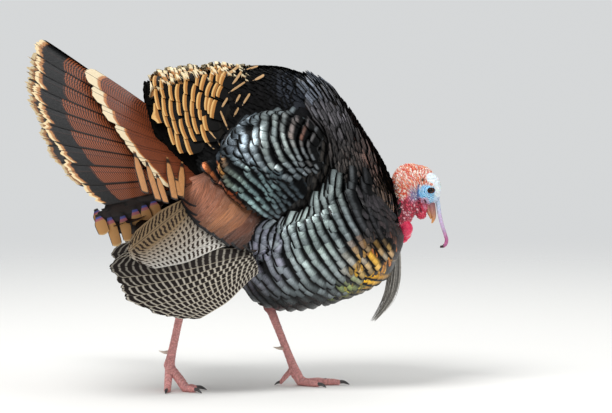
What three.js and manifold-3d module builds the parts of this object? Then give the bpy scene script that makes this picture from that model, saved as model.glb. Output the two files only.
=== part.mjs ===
// A life-size strutting wild turkey tom, built as faceted solids in millimetres: +X forward, +Y the bird's
// left, +Z up, standing on the plane z = 0. The forms include the depth of the plumage. Every solid keeps
// a small gap to its neighbours.
import * as THREE from "three";
import { mergeVertices } from "three/addons/utils/BufferGeometryUtils.js";
import Module from "manifold-3d";

const wasm = await Module();
wasm.setup();

// ------------------------------------------------------------ driving dimensions
const gap = 0.5; // between neighbouring solids
const tidyWithin = 0.15; // how far a cut solid may move where small faces are merged
const farAway = 1200; // half the size of the blocks that cut other solids

// Large body forms are superellipsoids: centre, half sizes (along its own axis, across, up), the pitch of
// that axis in degrees, and how full the outline is along and around it.
const breast = { at: [143, 0, 314], half: [187, 176, 134], pitch: 18, along: 2.55, around: 2.2 };
const belly = { at: [-44, 0, 324], half: [150, 130, 102], pitch: -16, along: 2.2, around: 2.1 };
const tailRoot = { at: [-146, 0, 424], half: [56, 58, 48], pitch: -30, along: 2, around: 2 };
const scapulars = { at: [57, 104, 449], half: [132, 74, 126], pitch: -12, along: 2.3, around: 2.2 };

// The raised cape of mantle, back and rump feathers, from the nape to the rump. Each station is half an
// oval that stands on its foot: [top x, top z, foot x, foot z, half width].
const cape = {
  stations: [
    [316, 384, 314, 352, 38],
    [287, 455, 305, 352, 77],
    [241, 533, 268, 356, 111],
    [176, 621, 198, 360, 136],
    [80, 670, 94, 366, 147],
    [-20, 675, -12, 374, 146],
    [-115, 665, -88, 390, 136],
    [-222, 651, -150, 446, 106],
  ],
  fullness: 2.2,
  underside: 0.16, // how far it bulges below its foot, as a share of its height
  rearBow: 20, // how far the middle of the rear edge stands behind a straight line
};
// Leaning planes part the cape: x at the height partZ, and how much x changes for each mm of height.
const partZ = 600;
const mantlePart = { x: 165, lean: -0.34 };
const rumpPart = { x: -58, lean: 0.12 };

// Each wing layer is a fan on the side of the body: its root in side view, the directions of its first and
// last feather in degrees from straight ahead, their lengths, how many feathers, how far the layer lies
// outside the wing's base, and where along the feathers the fan starts.
const wingPlane = { at: [-110, 300], out: 158, lean: 0.24, cup: 0.0002 }; // x and z of its widest place
const wingCoverts = {
  root: [72, 323], from: 128, to: 196, reach: [168, 234, 228, 222, 196, 150, 90],
  feathers: 9, out: 13, thick: 7, inner: 0.12, perFeather: 2,
};
const secondaries = {
  root: [20, 333], from: 138, to: 197, reach: [194, 196, 208, 238, 268, 278, 268],
  feathers: 11, out: 6, thick: 4, inner: 0.25, perFeather: 2,
};
const primaries = {
  root: [5, 276], from: 175, to: 236, reach: [272, 290, 274, 240, 190, 134, 80],
  feathers: 11, out: 0, thick: 4, inner: 0.2, perFeather: 2,
};
const wingNotch = 0.05; // depth of the notches between feather tips, as a share of the length

// The tail is a fan of long feathers from a centre inside the body, folded back a little along its middle
// like a low roof. Its left half stands slightly further back than its right half.
const tail = {
  root: [-24, 0, 444],
  centre: [-0.827, 0, 0.561],
  side: { left: [-0.33, 0.875, -0.385], right: [-0.243, -0.9, -0.355] },
  spread: 62, start: 148, length: 508, feathers: 9, perFeather: 3, rootThick: 9, tipThick: 2.4,
};
const tailCoverts = {
  reach: [0.75, 0.69, 0.62, 0.56, 0.52], // shares of the tail's length, from the middle outwards
  spread: 60, feathers: 8, perFeather: 2, rootThick: 7, tipThick: 3, clear: 1.4,
};
const tailNotch = 0.035;
const undertail = {
  root: [-126, 0, 402], centre: [-0.95, 0, -0.3], spread: 58, length: 206,
  feathers: 7, thick: 15, cup: 60, narrow: 0.72, notch: 0.07,
};

// Head and neck: the bill points steeply down and the neck is drawn in. Paths are rows of x, z, half depth
// and half width. The half width is the half depth where it is left out.
const skull = { at: [367, 0, 424], half: [42, 22, 30], pitch: -66, along: 2.2, around: 2.1 };
const crown = { at: [338, 0, 432], half: [39, 26, 36], pitch: -40, along: 2.2, around: 2.1 };
const eye = { at: [379, 17, 415], radius: 6.6 };
const neckPath = [[262, 322, 40, 40], [296, 352, 39, 38], [321, 385, 35, 32], [334, 420, 29, 25]];
const upperBill = [[374, 404, 10, 9.5], [380, 389, 9.5, 9], [384.5, 372, 7.6, 7.6], [386.5, 358, 5.2, 5.6],
  [384.5, 346, 1.8, 2.4]];
const lowerBill = [[366, 402, 8, 8.5], [371.5, 387, 7, 8], [376.5, 371, 5, 6.4], [380, 358, 2.6, 4]];
const snoodPath = [[392, 404, 5.6], [396, 386, 5.2], [399, 366, 4.6], [404, 344, 4.2], [411, 322, 4],
  [414.5, 308, 4], [411, 298, 4], [403, 294, 3.2]];
const wattleBalls = [[323, 12, 334, 18.5], [323, -12, 334, 18.5], [317, 0, 317, 15.5]]; // x, y, z, radius
const beardPath = [[303, 322, 9, 6], [305, 290, 11, 7.5], [303, 252, 12.5, 8], [298, 214, 12, 7.5],
  [285, 176, 9.5, 6], [258, 141, 2.4, 1.8]];

// Legs. A toe is [length without its claw, degrees turned inwards from the foot's heading, radius]. The
// foot lifts where footRise is over 0: the toes then slope down from the ball of the foot.
const legs = {
  left: {
    side: 1, hip: [70, 48, 262], hock: [34, 44, 190], ballOfFoot: [99, 36, 24], heading: -4, footRise: 0,
    toes: { inner: [62, 40, 7.4], middle: [92, 0, 8], outer: [70, -34, 7.2] }, hind: [28, 168, 5.6],
  },
  right: {
    side: -1, hip: [-66, -56, 300], hock: [-137, -42, 216], ballOfFoot: [-172, -38, 52], heading: -48,
    footRise: 0.22, toes: { inner: [58, 40, 7.4], middle: [76, 0, 8], outer: [56, -50, 7.2] },
    hind: [30, 150, 5.6],
  },
};
const thigh = { radii: [46, 34, 19], middle: 0.55, narrow: 0.86, end: 0.16 }; // end: its share of the shank
const shankRadii = [[0, 12.5, 10], [0.1, 10.5, 8.5], [0.45, 8.6, 7], [0.8, 9.2, 7.4], [1, 11.5, 10]];
const toeFlat = 0.8; // height of a toe's middle line, as a share of its radius
const claw = { length: 21, radius: 4.2 };
const hindLift = 34; // how far the hind toe of a lifted foot hangs
const spur = { height: 79, length: 29, radius: 5 };

// ------------------------------------------------------------ small tools
const radians = THREE.MathUtils.degToRad;
const vec = (x, y, z) => new THREE.Vector3(x, y, z);
const mix = THREE.MathUtils.lerp;
const steps = (n) => Array.from({ length: n + 1 }, (_, i) => i / n);
const turns = (n) => steps(n).slice(0, -1).map((share) => 2 * Math.PI * share);
const sideOf = { left: 1, right: -1 };

// A smooth curve through rows of numbers: 0 gives the first row and 1 the last (Catmull-Rom).
function through(rows) {
  const last = rows.length - 1;
  const row = (k) => rows[Math.min(Math.max(k, 0), last)];
  return (t) => {
    const place = Math.min(Math.max(t, 0), 1) * last;
    const i = Math.min(Math.floor(place), last - 1);
    const u = place - i;
    return rows[0].map((_, c) => {
      const [a, b, d, e] = [row(i - 1)[c], row(i)[c], row(i + 1)[c], row(i + 2)[c]];
      return b + 0.5 * u * (d - a + u * (2 * a - 5 * b + 4 * d - e + u * (3 * (b - d) + e - a)));
    });
  };
}

// Cosine and sine of a squarer or sharper oval: a fullness of 2 is a circle.
const ovalCos = (a, fullness) => Math.sign(Math.cos(a)) * Math.abs(Math.cos(a)) ** (2 / fullness);
const ovalSin = (a, fullness) => Math.sign(Math.sin(a)) * Math.abs(Math.sin(a)) ** (2 / fullness);

function solidOf(points, faces) {
  const loose = new THREE.BufferGeometry().setFromPoints(points).setIndex(faces.flat());
  const geometry = mergeVertices(loose, 1e-4);
  const index = [...geometry.index.array];
  const triangles = faces.map((_, i) => index.slice(3 * i, 3 * i + 3));
  const whole = triangles.filter(([a, b, c]) => a !== b && b !== c && a !== c);
  const vertProperties = geometry.attributes.position.array;
  const wrap = (list) =>
    new wasm.Manifold(new wasm.Mesh({ numProp: 3, vertProperties, triVerts: new Uint32Array(list.flat()) }));
  const made = wrap(whole);
  return made.volume() > 0 ? made : wrap(whole.map(([a, b, c]) => [a, c, b]));
}

// A closed solid over rings of points, with a fan over each end.
function loft(rings) {
  const count = rings[0].length;
  const points = rings.flat();
  const faces = [];
  rings.slice(1).forEach((_, i) => {
    for (let j = 0; j < count; j += 1) {
      const a = i * count + j;
      const b = i * count + ((j + 1) % count);
      faces.push([a, b, b + count], [a, b + count, a + count]);
    }
  });
  [0, rings.length - 1].forEach((k) => {
    const middle = rings[k].reduce((sum, p) => sum.add(p), vec(0, 0, 0)).divideScalar(count);
    points.push(middle);
    for (let j = 0; j < count; j += 1) {
      const face = [k * count + ((j + 1) % count), k * count + j, points.length - 1];
      faces.push(k > 0 ? face.reverse() : face);
    }
  });
  return solidOf(points, faces);
}

// A plate between two sheets, each a function of (across, along) from 0 to 1.
function plate(upper, lower, across, along) {
  return loft(
    steps(across).map((u) => [
      ...steps(along).map((v) => upper(u, v)),
      ...steps(along).reverse().map((v) => lower(u, v)),
    ]),
  );
}

// A superellipsoid on its pitched axis. side moves its centre to +Y or -Y.
function oval({ at, half, pitch, along, around }, side, rings, facets) {
  const turn = radians(pitch);
  const forward = vec(Math.cos(turn), 0, Math.sin(turn));
  const up = vec(-Math.sin(turn), 0, Math.cos(turn));
  const centre = vec(at[0], side * at[1], at[2]);
  const ring = (polar) =>
    turns(facets).map((a) => {
      const girth = Math.abs(ovalSin(polar, along));
      return centre.clone()
        .addScaledVector(forward, half[0] * ovalCos(polar, along))
        .addScaledVector(up, half[2] * girth * ovalSin(a, around))
        .add(vec(0, half[1] * girth * ovalCos(a, around), 0));
    });
  return loft(steps(rings).map((t) => ring(mix(0.07, Math.PI - 0.07, t))));
}

function ball(x, y, z, radius, rings, facets) {
  const round = { at: [x, y, z], half: [radius, radius, radius], pitch: 0, along: 2, around: 2 };
  return oval(round, 1, rings, facets);
}

// A tube through stations [centre, half depth, half width]. The depth lies in the plane square to sideways.
function tube(stations, facets, sideways = vec(0, 1, 0)) {
  return loft(
    stations.map(([centre, depth, width], i) => {
      const before = stations[Math.max(i - 1, 0)][0];
      const after = stations[Math.min(i + 1, stations.length - 1)][0];
      const tangent = after.clone().sub(before).normalize();
      const normal = tangent.clone().cross(sideways).normalize();
      const across = normal.clone().cross(tangent).normalize();
      const round = (a) => [depth * Math.cos(a), width * Math.sin(a)];
      return turns(facets).map(round)
        .map(([up, out]) => centre.clone().addScaledVector(normal, up).addScaledVector(across, out));
    }),
  );
}

// A tube whose rows lie in the middle plane of the body.
function middleTube(rows, facets) {
  return tube(rows.map(([x, z, depth, width]) => [vec(x, 0, z), depth, width ?? depth]), facets);
}

// A round tube through points, whose facets stay level however it turns.
function pathTube(points, radii, facets) {
  const run = points.at(-1).clone().sub(points[0]).setZ(0).normalize();
  return tube(points.map((p, i) => [p, radii[i], radii[i]]), facets, vec(-run.y, run.x, 0));
}

// The same solid with every corner moved out. Each face counts by its angle at the corner, so that thin
// rims grow as well as broad faces.
function grown(solid) {
  const { vertProperties, triVerts } = solid.getMesh();
  const count = vertProperties.length / 3;
  const point = (k) => vec(...vertProperties.subarray(3 * k, 3 * k + 3));
  const points = Array.from({ length: count }, (_, k) => point(k));
  const outward = points.map(() => vec(0, 0, 0));
  for (let i = 0; i < triVerts.length; i += 3) {
    const corners = [...triVerts.subarray(i, i + 3)];
    const [a, b, c] = corners.map((k) => points[k]);
    const facing = b.clone().sub(a).cross(c.clone().sub(a)).normalize();
    corners.forEach((k, n) => {
      const next = points[corners[(n + 1) % 3]].clone().sub(points[k]);
      const last = points[corners[(n + 2) % 3]].clone().sub(points[k]);
      outward[k].addScaledVector(facing, next.angleTo(last));
    });
  }
  const moved = points.flatMap((p, i) => p.clone().addScaledVector(outward[i].normalize(), gap).toArray());
  return new wasm.Manifold(new wasm.Mesh({ numProp: 3, vertProperties: new Float32Array(moved), triVerts }));
}

// A solid less its grown neighbours, keeping its largest piece.
function cutBy(solid, neighbours) {
  const pieces = neighbours.reduce((rest, other) => rest.subtract(grown(other)), solid).decompose();
  return pieces.reduce((best, piece) => (piece.volume() > best.volume() ? piece : best)).simplify(tidyWithin);
}

// A block between two opposite corners.
function block(low, high) {
  const corners = [[low.y, low.z], [high.y, low.z], [high.y, high.z], [low.y, high.z]];
  return loft([low.x, high.x].map((x) => corners.map(([y, z]) => vec(x, y, z))));
}

// The block on one side of a plane that leans along the body.
function slab({ x, lean }, front) {
  const edge = (z) => x + lean * (z - partZ) + (front ? gap / 2 : -gap / 2);
  const end = front ? farAway : -farAway;
  const corners = [[edge(-farAway), -farAway], [end, -farAway], [end, farAway], [edge(farAway), farAway]];
  return loft([-farAway, farAway].map((y) => corners.map(([px, pz]) => vec(px, y, pz))));
}

const aboveFloor = block(vec(-farAway, -farAway, 0), vec(farAway, farAway, farAway));
const halves = {
  left: block(vec(-farAway, gap / 2, -farAway), vec(farAway, farAway, farAway)),
  right: block(vec(-farAway, -farAway, -farAway), vec(farAway, -gap / 2, farAway)),
};

// ------------------------------------------------------------ cape
function capeForm() {
  const station = through(cape.stations);
  return loft(
    steps(11).map((s) => {
      const [topX, topZ, footX, footZ, width] = station(s);
      return turns(16).map((a) => {
        const rise = ovalSin(a, cape.fullness);
        const share = rise > 0 ? rise : cape.underside * rise;
        const bow = 4 * cape.rearBow * s ** 8 * Math.max(share, 0) * (1 - share);
        return vec(mix(footX, topX, share) - bow, width * ovalCos(a, cape.fullness), mix(footZ, topZ, share));
      });
    }),
  );
}

// ------------------------------------------------------------ wings
// How far the wing's base stands from the middle plane at a point of the side view.
function wingDepth(x, z) {
  const { at, out, lean, cup } = wingPlane;
  return out + lean * (at[1] - z) - cup * (x - at[0]) ** 2;
}

// The share of its full length that a fan keeps between feather tips: 1 at a tip.
const scallop = (u, feathers, notch) => 1 - notch * (1 - Math.abs(Math.sin(Math.PI * feathers * u))) ** 1.5;

function wingFan({ root, from, to, reach, feathers, out, thick, inner, perFeather }, side) {
  const length = through(reach.map((value) => [value]));
  const sheet = (layer) => (u, v) => {
    const angle = radians(mix(from, to, u));
    const r = mix(inner, 1, v) * length(u)[0] * scallop(u, feathers, wingNotch * v);
    const [x, z] = [root[0] + r * Math.cos(angle), root[1] + r * Math.sin(angle)];
    return vec(x, side * (wingDepth(x, z) + out + layer * mix(1, 0.5, v)), z);
  };
  return plate(sheet(thick), sheet(0), perFeather * feathers, 2);
}

// ------------------------------------------------------------ tail
function tailDirection(turn, name) {
  const a = radians(turn);
  const sideways = vec(...tail.side[name]).normalize();
  return vec(...tail.centre).normalize().multiplyScalar(Math.cos(a)).addScaledVector(sideways, Math.sin(a));
}

function tailNormal(name) {
  const flat = tailDirection(0, name).cross(tailDirection(90, name)).normalize();
  return flat.multiplyScalar(Math.sign(flat.x));
}

// Half the thickness of the long tail feathers at a distance from the fan's centre.
function tailHalfThick(r) {
  return mix(tail.rootThick, tail.tipThick, (r - tail.start) / (tail.length - tail.start)) / 2;
}

// One half of a fan on the tail's plane, between a lower and an upper height over that plane.
function tailFan(name, { spread, feathers, perFeather }, length, low, high) {
  const root = vec(...tail.root);
  const normal = tailNormal(name);
  const sheet = (height) => (u, v) => {
    const r = mix(tail.start, length(u) * scallop(u, feathers, tailNotch), v);
    const direction = tailDirection(mix(-1, spread, u), name);
    return root.clone().addScaledVector(direction, r).addScaledVector(normal, height(r, v));
  };
  return plate(sheet(high), sheet(low), perFeather * feathers, 1).intersect(halves[name]);
}

function tailForm(name) {
  return tailFan(name, tail, () => tail.length, (r) => -tailHalfThick(r), tailHalfThick);
}

function tailCovertForm(name) {
  const reach = through(tailCoverts.reach.map((share) => [share * tail.length]));
  const low = (r) => tailHalfThick(r) + tailCoverts.clear;
  const high = (r, v) => low(r) + mix(tailCoverts.rootThick, tailCoverts.tipThick, v);
  return tailFan(name, tailCoverts, (u) => reach(u)[0], low, high);
}

// The tuft under the tail: a cupped fan that points back and a little down.
function undertailForm() {
  const { root, spread, length, feathers, thick, cup, narrow, notch } = undertail;
  const centre = vec(...undertail.centre).normalize();
  const down = centre.clone().cross(vec(0, 1, 0)).normalize();
  down.multiplyScalar(-Math.sign(down.z));
  const sheet = (layer) => (u, v) => {
    const a = radians(mix(-spread, spread, u));
    const r = mix(0.1, 1, v) * length * scallop(u, feathers, notch * v);
    return vec(...root)
      .addScaledVector(centre, r * Math.cos(a))
      .add(vec(0, r * Math.sin(a) * narrow, 0))
      .addScaledVector(down, cup * (1 - Math.cos(a)) * v - layer * mix(1.6, 0.3, v));
  };
  return plate(sheet(thick / 2), sheet(-thick / 2), 2 * feathers, 2);
}

// ------------------------------------------------------------ legs
function thighForm({ hip, hock, ballOfFoot }) {
  const top = vec(...hip);
  const end = vec(...hock).lerp(vec(...ballOfFoot), thigh.end);
  const stations = [top, top.clone().lerp(end, thigh.middle), end];
  return tube(stations.map((p, i) => [p, thigh.radii[i], thigh.narrow * thigh.radii[i]]), 8);
}

function shankForm({ hock, ballOfFoot }) {
  const [top, bottom] = [vec(...hock), vec(...ballOfFoot)];
  return tube(shankRadii.map(([share, depth, width]) => [top.clone().lerp(bottom, share), depth, width]), 10);
}

// A toe slopes down from the ball of the foot and lies flat on the floor. Its claw carries on from it.
function toeForms({ side, ballOfFoot, heading, footRise }, [length, turn, radius]) {
  const a = radians(heading - side * turn);
  const [x, y, ballZ] = ballOfFoot;
  const flatZ = toeFlat * radius;
  const point = (reach, z) => vec(x + reach * Math.cos(a), y + reach * Math.sin(a), z);
  const knee = 0.16 + 1.2 * footRise;
  const toe = pathTube(
    [
      point(0.02 * length, ballZ - 2), point(knee * length, mix(flatZ, ballZ, 0.12 + footRise)),
      point((knee + 0.2) * length, flatZ), point(0.8 * length, flatZ), point(length, 0.92 * flatZ),
    ],
    [1.15 * radius, 1.1 * radius, radius, 0.95 * radius, 0.66 * radius], 7);
  const nail = pathTube(
    [
      point(length - 3, flatZ), point(length + 0.35 * claw.length, flatZ + 0.6),
      point(length + 0.75 * claw.length, 0.6 * flatZ), point(length + claw.length, 1),
    ],
    [claw.radius, 0.86 * claw.radius, 0.5 * claw.radius, 0.6], 6);
  return [toe, nail];
}

function hindToeForms({ side, hock, ballOfFoot, heading, footRise, hind }) {
  const [length, turn, radius] = hind;
  const a = radians(heading - side * turn);
  const start = vec(...hock).lerp(vec(...ballOfFoot), 0.93);
  const endZ = footRise > 0 ? start.z - hindLift : 7;
  const point = (reach, z) =>
    vec(start.x + reach * length * Math.cos(a), start.y + reach * length * Math.sin(a), z);
  const toe = pathTube(
    [point(0.1, start.z), point(0.6, mix(start.z, endZ, 0.55)), point(1, endZ)],
    [radius, 0.95 * radius, 0.7 * radius], 7);
  const nail = pathTube(
    [point(0.96, endZ + 0.6), point(1.25, endZ - 1), point(1.5, Math.max(endZ - 6, 1.4))],
    [0.62 * radius, 0.45 * radius, 0.6], 6);
  return [toe, nail];
}

function spurForm({ side, hock, ballOfFoot }) {
  const down = (hock[2] - spur.height) / (hock[2] - ballOfFoot[2]);
  const root = vec(...hock).lerp(vec(...ballOfFoot), down);
  const out = vec(-0.95, -0.3 * side, 0).multiplyScalar(spur.length);
  const tip = root.clone().add(out).add(vec(0, 0, 3));
  const bend = root.clone().addScaledVector(out, 0.55);
  return pathTube([root, bend, tip], [spur.radius, 0.62 * spur.radius, 0.7], 6);
}

// ------------------------------------------------------------ putting the solids together
const wholes = {}; // each form before its neighbours cut it
const solids = {};

function place(name, whole, ...neighbours) {
  wholes[name] = whole;
  solids[name] = cutBy(whole, neighbours.map((other) => wholes[other]));
}

const wholeCape = capeForm();
const backForm = wholeCape.intersect(slab(mantlePart, false)).intersect(slab(rumpPart, true));
const rumpForm = wholeCape.intersect(slab(rumpPart, false)).add(oval(tailRoot, 1, 6, 12));
place("breast", oval(breast, 1, 11, 18));
place("belly", oval(belly, 1, 8, 12), "breast");
place("mantle", wholeCape.intersect(slab(mantlePart, true)), "breast", "belly");
place("back", backForm, "breast", "belly");
place("rump", rumpForm, "breast", "belly", "back");
const trunk = ["breast", "belly", "mantle", "back", "rump"];

for (const [name, side] of Object.entries(sideOf)) {
  place("eye_" + name, ball(eye.at[0], side * eye.at[1], eye.at[2], eye.radius, 5, 8));
}
place("head", oval(skull, 1, 8, 12).add(oval(crown, 1, 7, 12)), "eye_left", "eye_right", "mantle");
place("neck", middleTube(neckPath, 11), "head", ...trunk);
place("bill_upper", middleTube(upperBill, 10), "head");
place("bill_lower", middleTube(lowerBill, 10), "head", "bill_upper");
place("snood", middleTube(snoodPath, 8), "head", "bill_upper");
const wattleForm = wattleBalls.map((b) => ball(...b, 4, 8)).reduce((all, one) => all.add(one));
place("wattles", wattleForm, "head", "neck", "bill_lower", ...trunk);
place("beard", middleTube(beardPath, 8), "breast", "wattles", "mantle", "neck");

for (const [name, side] of Object.entries(sideOf)) {
  const parts = ["scapulars", "wing_coverts", "wing_secondaries", "wing_primaries"];
  const layers = parts.map((part) => `${part}_${name}`);
  const fans = [wingCoverts, secondaries, primaries].map((fan) => wingFan(fan, side));
  const forms = [oval(scapulars, side, 8, 14), ...fans];
  layers.forEach((layer, i) => place(layer, forms[i], ...trunk, ...layers.slice(0, i)));
  place("tail_" + name, tailForm(name), "rump", "belly", "back", ...layers);
  place("tail_coverts_" + name, tailCovertForm(name), "rump", "back", "tail_" + name, ...layers);
}
const wings = Object.keys(wholes).filter((name) => name.startsWith("wing"));
place("undertail", undertailForm(), "rump", "belly", "tail_left", "tail_right", ...wings);

for (const [name, leg] of Object.entries(legs)) {
  const wing = wings.filter((part) => part.endsWith(name));
  const shank = "shank_" + name;
  place(shank, shankForm(leg).intersect(aboveFloor), ...trunk, ...wing);
  place("thigh_" + name, thighForm(leg), shank, ...trunk, ...wing);
  const placed = [shank];
  const toes = Object.entries(leg.toes).map(([part, toe]) => [part, toeForms(leg, toe)]);
  for (const [part, [toe, nail]] of [...toes, ["hind", hindToeForms(leg)]]) {
    const toeName = `toe_${part}_${name}`;
    place(toeName, toe.intersect(aboveFloor), ...placed);
    placed.push(toeName);
    place(`claw_${part}_${name}`, nail.intersect(aboveFloor), ...placed);
  }
  place("spur_" + name, spurForm(leg), ...placed);
}

// ------------------------------------------------------------ materials and the scene
function finish(color, roughness, metalness = 0) {
  return new THREE.MeshStandardMaterial({ color, roughness, metalness });
}

const finishes = [
  [/^(breast|scapulars)/, finish(0x3f4a44, 0.4, 0.35)],
  [/^(mantle|back)/, finish(0x1d1a18, 0.55, 0.1)],
  [/^(rump|undertail)/, finish(0x6d5238, 0.6)],
  [/^(belly|thigh)/, finish(0x2e2622, 0.8)],
  [/^wing_coverts/, finish(0x7a4a2c, 0.4, 0.3)],
  [/^wing_/, finish(0x8b8378, 0.6)],
  [/^tail_coverts/, finish(0x7c3f22, 0.6)],
  [/^tail/, finish(0x6e3a20, 0.6)],
  [/^head/, finish(0x7fb4d6, 0.5)],
  [/^(neck|wattles)/, finish(0xc33a4a, 0.45)],
  [/^snood/, finish(0xb58fb0, 0.45)],
  [/^eye/, finish(0x1c0f0a, 0.1)],
  [/^bill/, finish(0xc79a72, 0.45)],
  [/^beard/, finish(0x4a4a48, 0.7)],
  [/^(shank|toe)/, finish(0xb9807a, 0.55)],
  [/^(claw|spur)/, finish(0x6b5f58, 0.4)],
];

function meshOf(name, solid) {
  const { vertProperties, triVerts } = solid.getMesh();
  const geometry = new THREE.BufferGeometry();
  geometry.setAttribute("position", new THREE.BufferAttribute(new Float32Array(vertProperties), 3));
  geometry.setIndex([...triVerts]);
  geometry.computeVertexNormals();
  const [, material] = finishes.find(([pattern]) => pattern.test(name));
  const mesh = new THREE.Mesh(geometry, material.clone());
  mesh.name = name;
  return mesh;
}

const turkey = new THREE.Group();
for (const [name, solid] of Object.entries(solids)) turkey.add(meshOf(name, solid));
const box = new THREE.Box3().setFromObject(turkey);
const middle = box.getCenter(vec(0, 0, 0));
turkey.position.set(-middle.x, -middle.y, -box.min.z);

export default turkey;
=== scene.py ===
# A life-size strutting wild turkey tom, a still model: one skin, with every feather a thin closed vane.
# +X is forward, +Y the bird's left and +Z up. Measures are in millimetres in the model's own place.
import bpy
import numpy as np
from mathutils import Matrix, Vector
from mathutils.bvhtree import BVHTree


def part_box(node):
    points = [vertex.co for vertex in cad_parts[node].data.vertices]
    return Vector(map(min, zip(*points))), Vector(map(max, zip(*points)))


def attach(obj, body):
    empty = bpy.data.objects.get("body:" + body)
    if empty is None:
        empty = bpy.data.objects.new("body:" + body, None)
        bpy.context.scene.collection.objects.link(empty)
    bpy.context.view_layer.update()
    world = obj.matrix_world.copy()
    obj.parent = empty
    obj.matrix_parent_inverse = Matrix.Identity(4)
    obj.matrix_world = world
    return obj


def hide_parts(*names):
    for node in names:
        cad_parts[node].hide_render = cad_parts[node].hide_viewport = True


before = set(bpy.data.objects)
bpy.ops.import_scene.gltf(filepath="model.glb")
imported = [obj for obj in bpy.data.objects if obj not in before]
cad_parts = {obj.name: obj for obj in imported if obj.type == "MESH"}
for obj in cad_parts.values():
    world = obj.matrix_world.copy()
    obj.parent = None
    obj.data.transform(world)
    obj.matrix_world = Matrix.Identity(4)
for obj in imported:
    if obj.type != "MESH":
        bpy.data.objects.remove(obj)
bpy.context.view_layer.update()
sides = {"left": 1, "right": -1}
print("frame loaded")

# ---- body forms: centre, half sizes, pitch in degrees and how full the outline is along and around
breast = {"at": (143, 0, 314), "half": (187, 176, 134), "pitch": 18, "along": 2.55, "around": 2.2}
belly = {"at": (-44, 0, 324), "half": (150, 130, 102), "pitch": -16, "along": 2.2, "around": 2.1}
shoulder = {"at": (57, 104, 449), "half": (132, 74, 126), "pitch": -12, "along": 2.3, "around": 2.2}
skull = {"at": (367, 0, 424), "half": (42, 22, 30), "pitch": -66, "along": 2.2, "around": 2.1}
crown = {"at": (338, 0, 432), "half": (39, 26, 36), "pitch": -40, "along": 2.2, "around": 2.1}
cape = {  # stations of top x, top z, foot x, foot z and half width, from the nape to the rump
    "stations": [(316, 384, 314, 352, 38), (287, 455, 305, 352, 77), (241, 533, 268, 356, 111),
                 (176, 621, 198, 360, 136), (80, 670, 94, 366, 147), (-20, 675, -12, 374, 146),
                 (-115, 665, -88, 390, 136), (-222, 651, -150, 446, 106)],
    "fullness": 2.2, "underside": 0.16, "rearBow": 20, "capReach": 0.14, "capBulge": 22,
}
wingPlane = {"at": (-110, 300), "out": 158, "lean": 0.24, "cup": 0.0002, "clear": 5}
tail = {
    "root": (-24, 0, 444), "centre": (-0.827, 0, 0.561), "spread": 62, "length": 508,
    "side": {"left": (-0.33, 0.875, -0.385), "right": (-0.243, -0.9, -0.355)},
}
undertail = {"root": (-126, 0, 402), "centre": (-0.95, 0, -0.3), "spread": 56, "length": 206,
             "cup": 60, "narrow": 0.72}
eye = {"at": (379, 17, 415), "radius": 6.6}

# Shift leads from the model's own place to the frame's
eyeMiddle = np.mean([corner[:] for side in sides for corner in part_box("eye_" + side)], axis=0)
shift = eyeMiddle * 1000 - (eye["at"][0], 0, eye["at"][2])

# ---- small tools
def unit(v):  # rows of length 1
    return v / np.maximum(np.linalg.norm(v, axis=-1, keepdims=True), 1e-9)


def dot(a, b):  # row by row, kept as a column
    return (a * b).sum(-1, keepdims=True)


def pathLengths(points):  # how far along a path each of its points lies
    return np.concatenate([[0], np.cumsum(np.linalg.norm(np.diff(points, axis=0), axis=-1))])


def smooth(t):  # 0 to 1 with soft ends: t squared times 3 - 2t
    t = np.clip(t, 0, 1)
    return t * t * (3 - 2 * t)


def ovalCos(a, fullness):  # the cosine to the power 2 / fullness, with its sign: 2 is round, more is fuller
    return np.sign(np.cos(a)) * np.abs(np.cos(a)) ** (2 / fullness)


def ovalSin(a, fullness):  # the sine likewise
    return np.sign(np.sin(a)) * np.abs(np.sin(a)) ** (2 / fullness)


# A smooth curve through rows of numbers: 0 gives the first row and 1 the last (Catmull-Rom).
def through(rows, t):
    rows = np.array(rows, float)
    last = len(rows) - 1
    place = np.asarray(t, float) * last
    i = np.clip(np.floor(place).astype(int), 0, last - 1)
    u = (place - i)[..., None]
    a, b, d, e = (rows[np.clip(i + k, 0, last)] for k in (-1, 0, 1, 2))
    return b + 0.5 * u * (d - a + u * (2 * a - 5 * b + 4 * d - e + u * (3 * (b - d) + e - a)))


def linear(hexColour):  # an sRGB hex value as linear red, green, blue
    value = np.array([int(hexColour[k:k + 2], 16) / 255 for k in (1, 3, 5)])
    return np.where(value <= 0.04045, value / 12.92, ((value + 0.055) / 1.055) ** 2.4)


# Soft patches of colour over the side of the body: each is (x, z, reach in x, reach in z, hex, strength),
# a bell round its middle that mixes over what is already there. Flecks makes them uneven by chance.
def paint(points, base, patches, flecks=0.0, seed=1):
    colour = np.broadcast_to(linear(base), points.shape).copy()
    chance = np.random.default_rng(seed)
    for x, z, reachX, reachZ, hexColour, strength in patches:
        far = ((points[..., 0] - x) / reachX) ** 2 + ((points[..., 2] - z) / reachZ) ** 2
        share = strength * np.exp(-far ** 1.5) * (1 - flecks * chance.random(far.shape))
        colour += share[..., None] * (linear(hexColour) - colour)
    return colour


def flat(hexColour, count):  # the same colour for each of count feathers or points
    return np.tile(linear(hexColour), (count, 1))


def varied(tint, amount, chance):  # each feather lighter or darker: times e to the amount times a chance
    return np.clip(tint * np.exp(amount * chance.standard_normal((len(tint), 1))), 0, 1)


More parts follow.
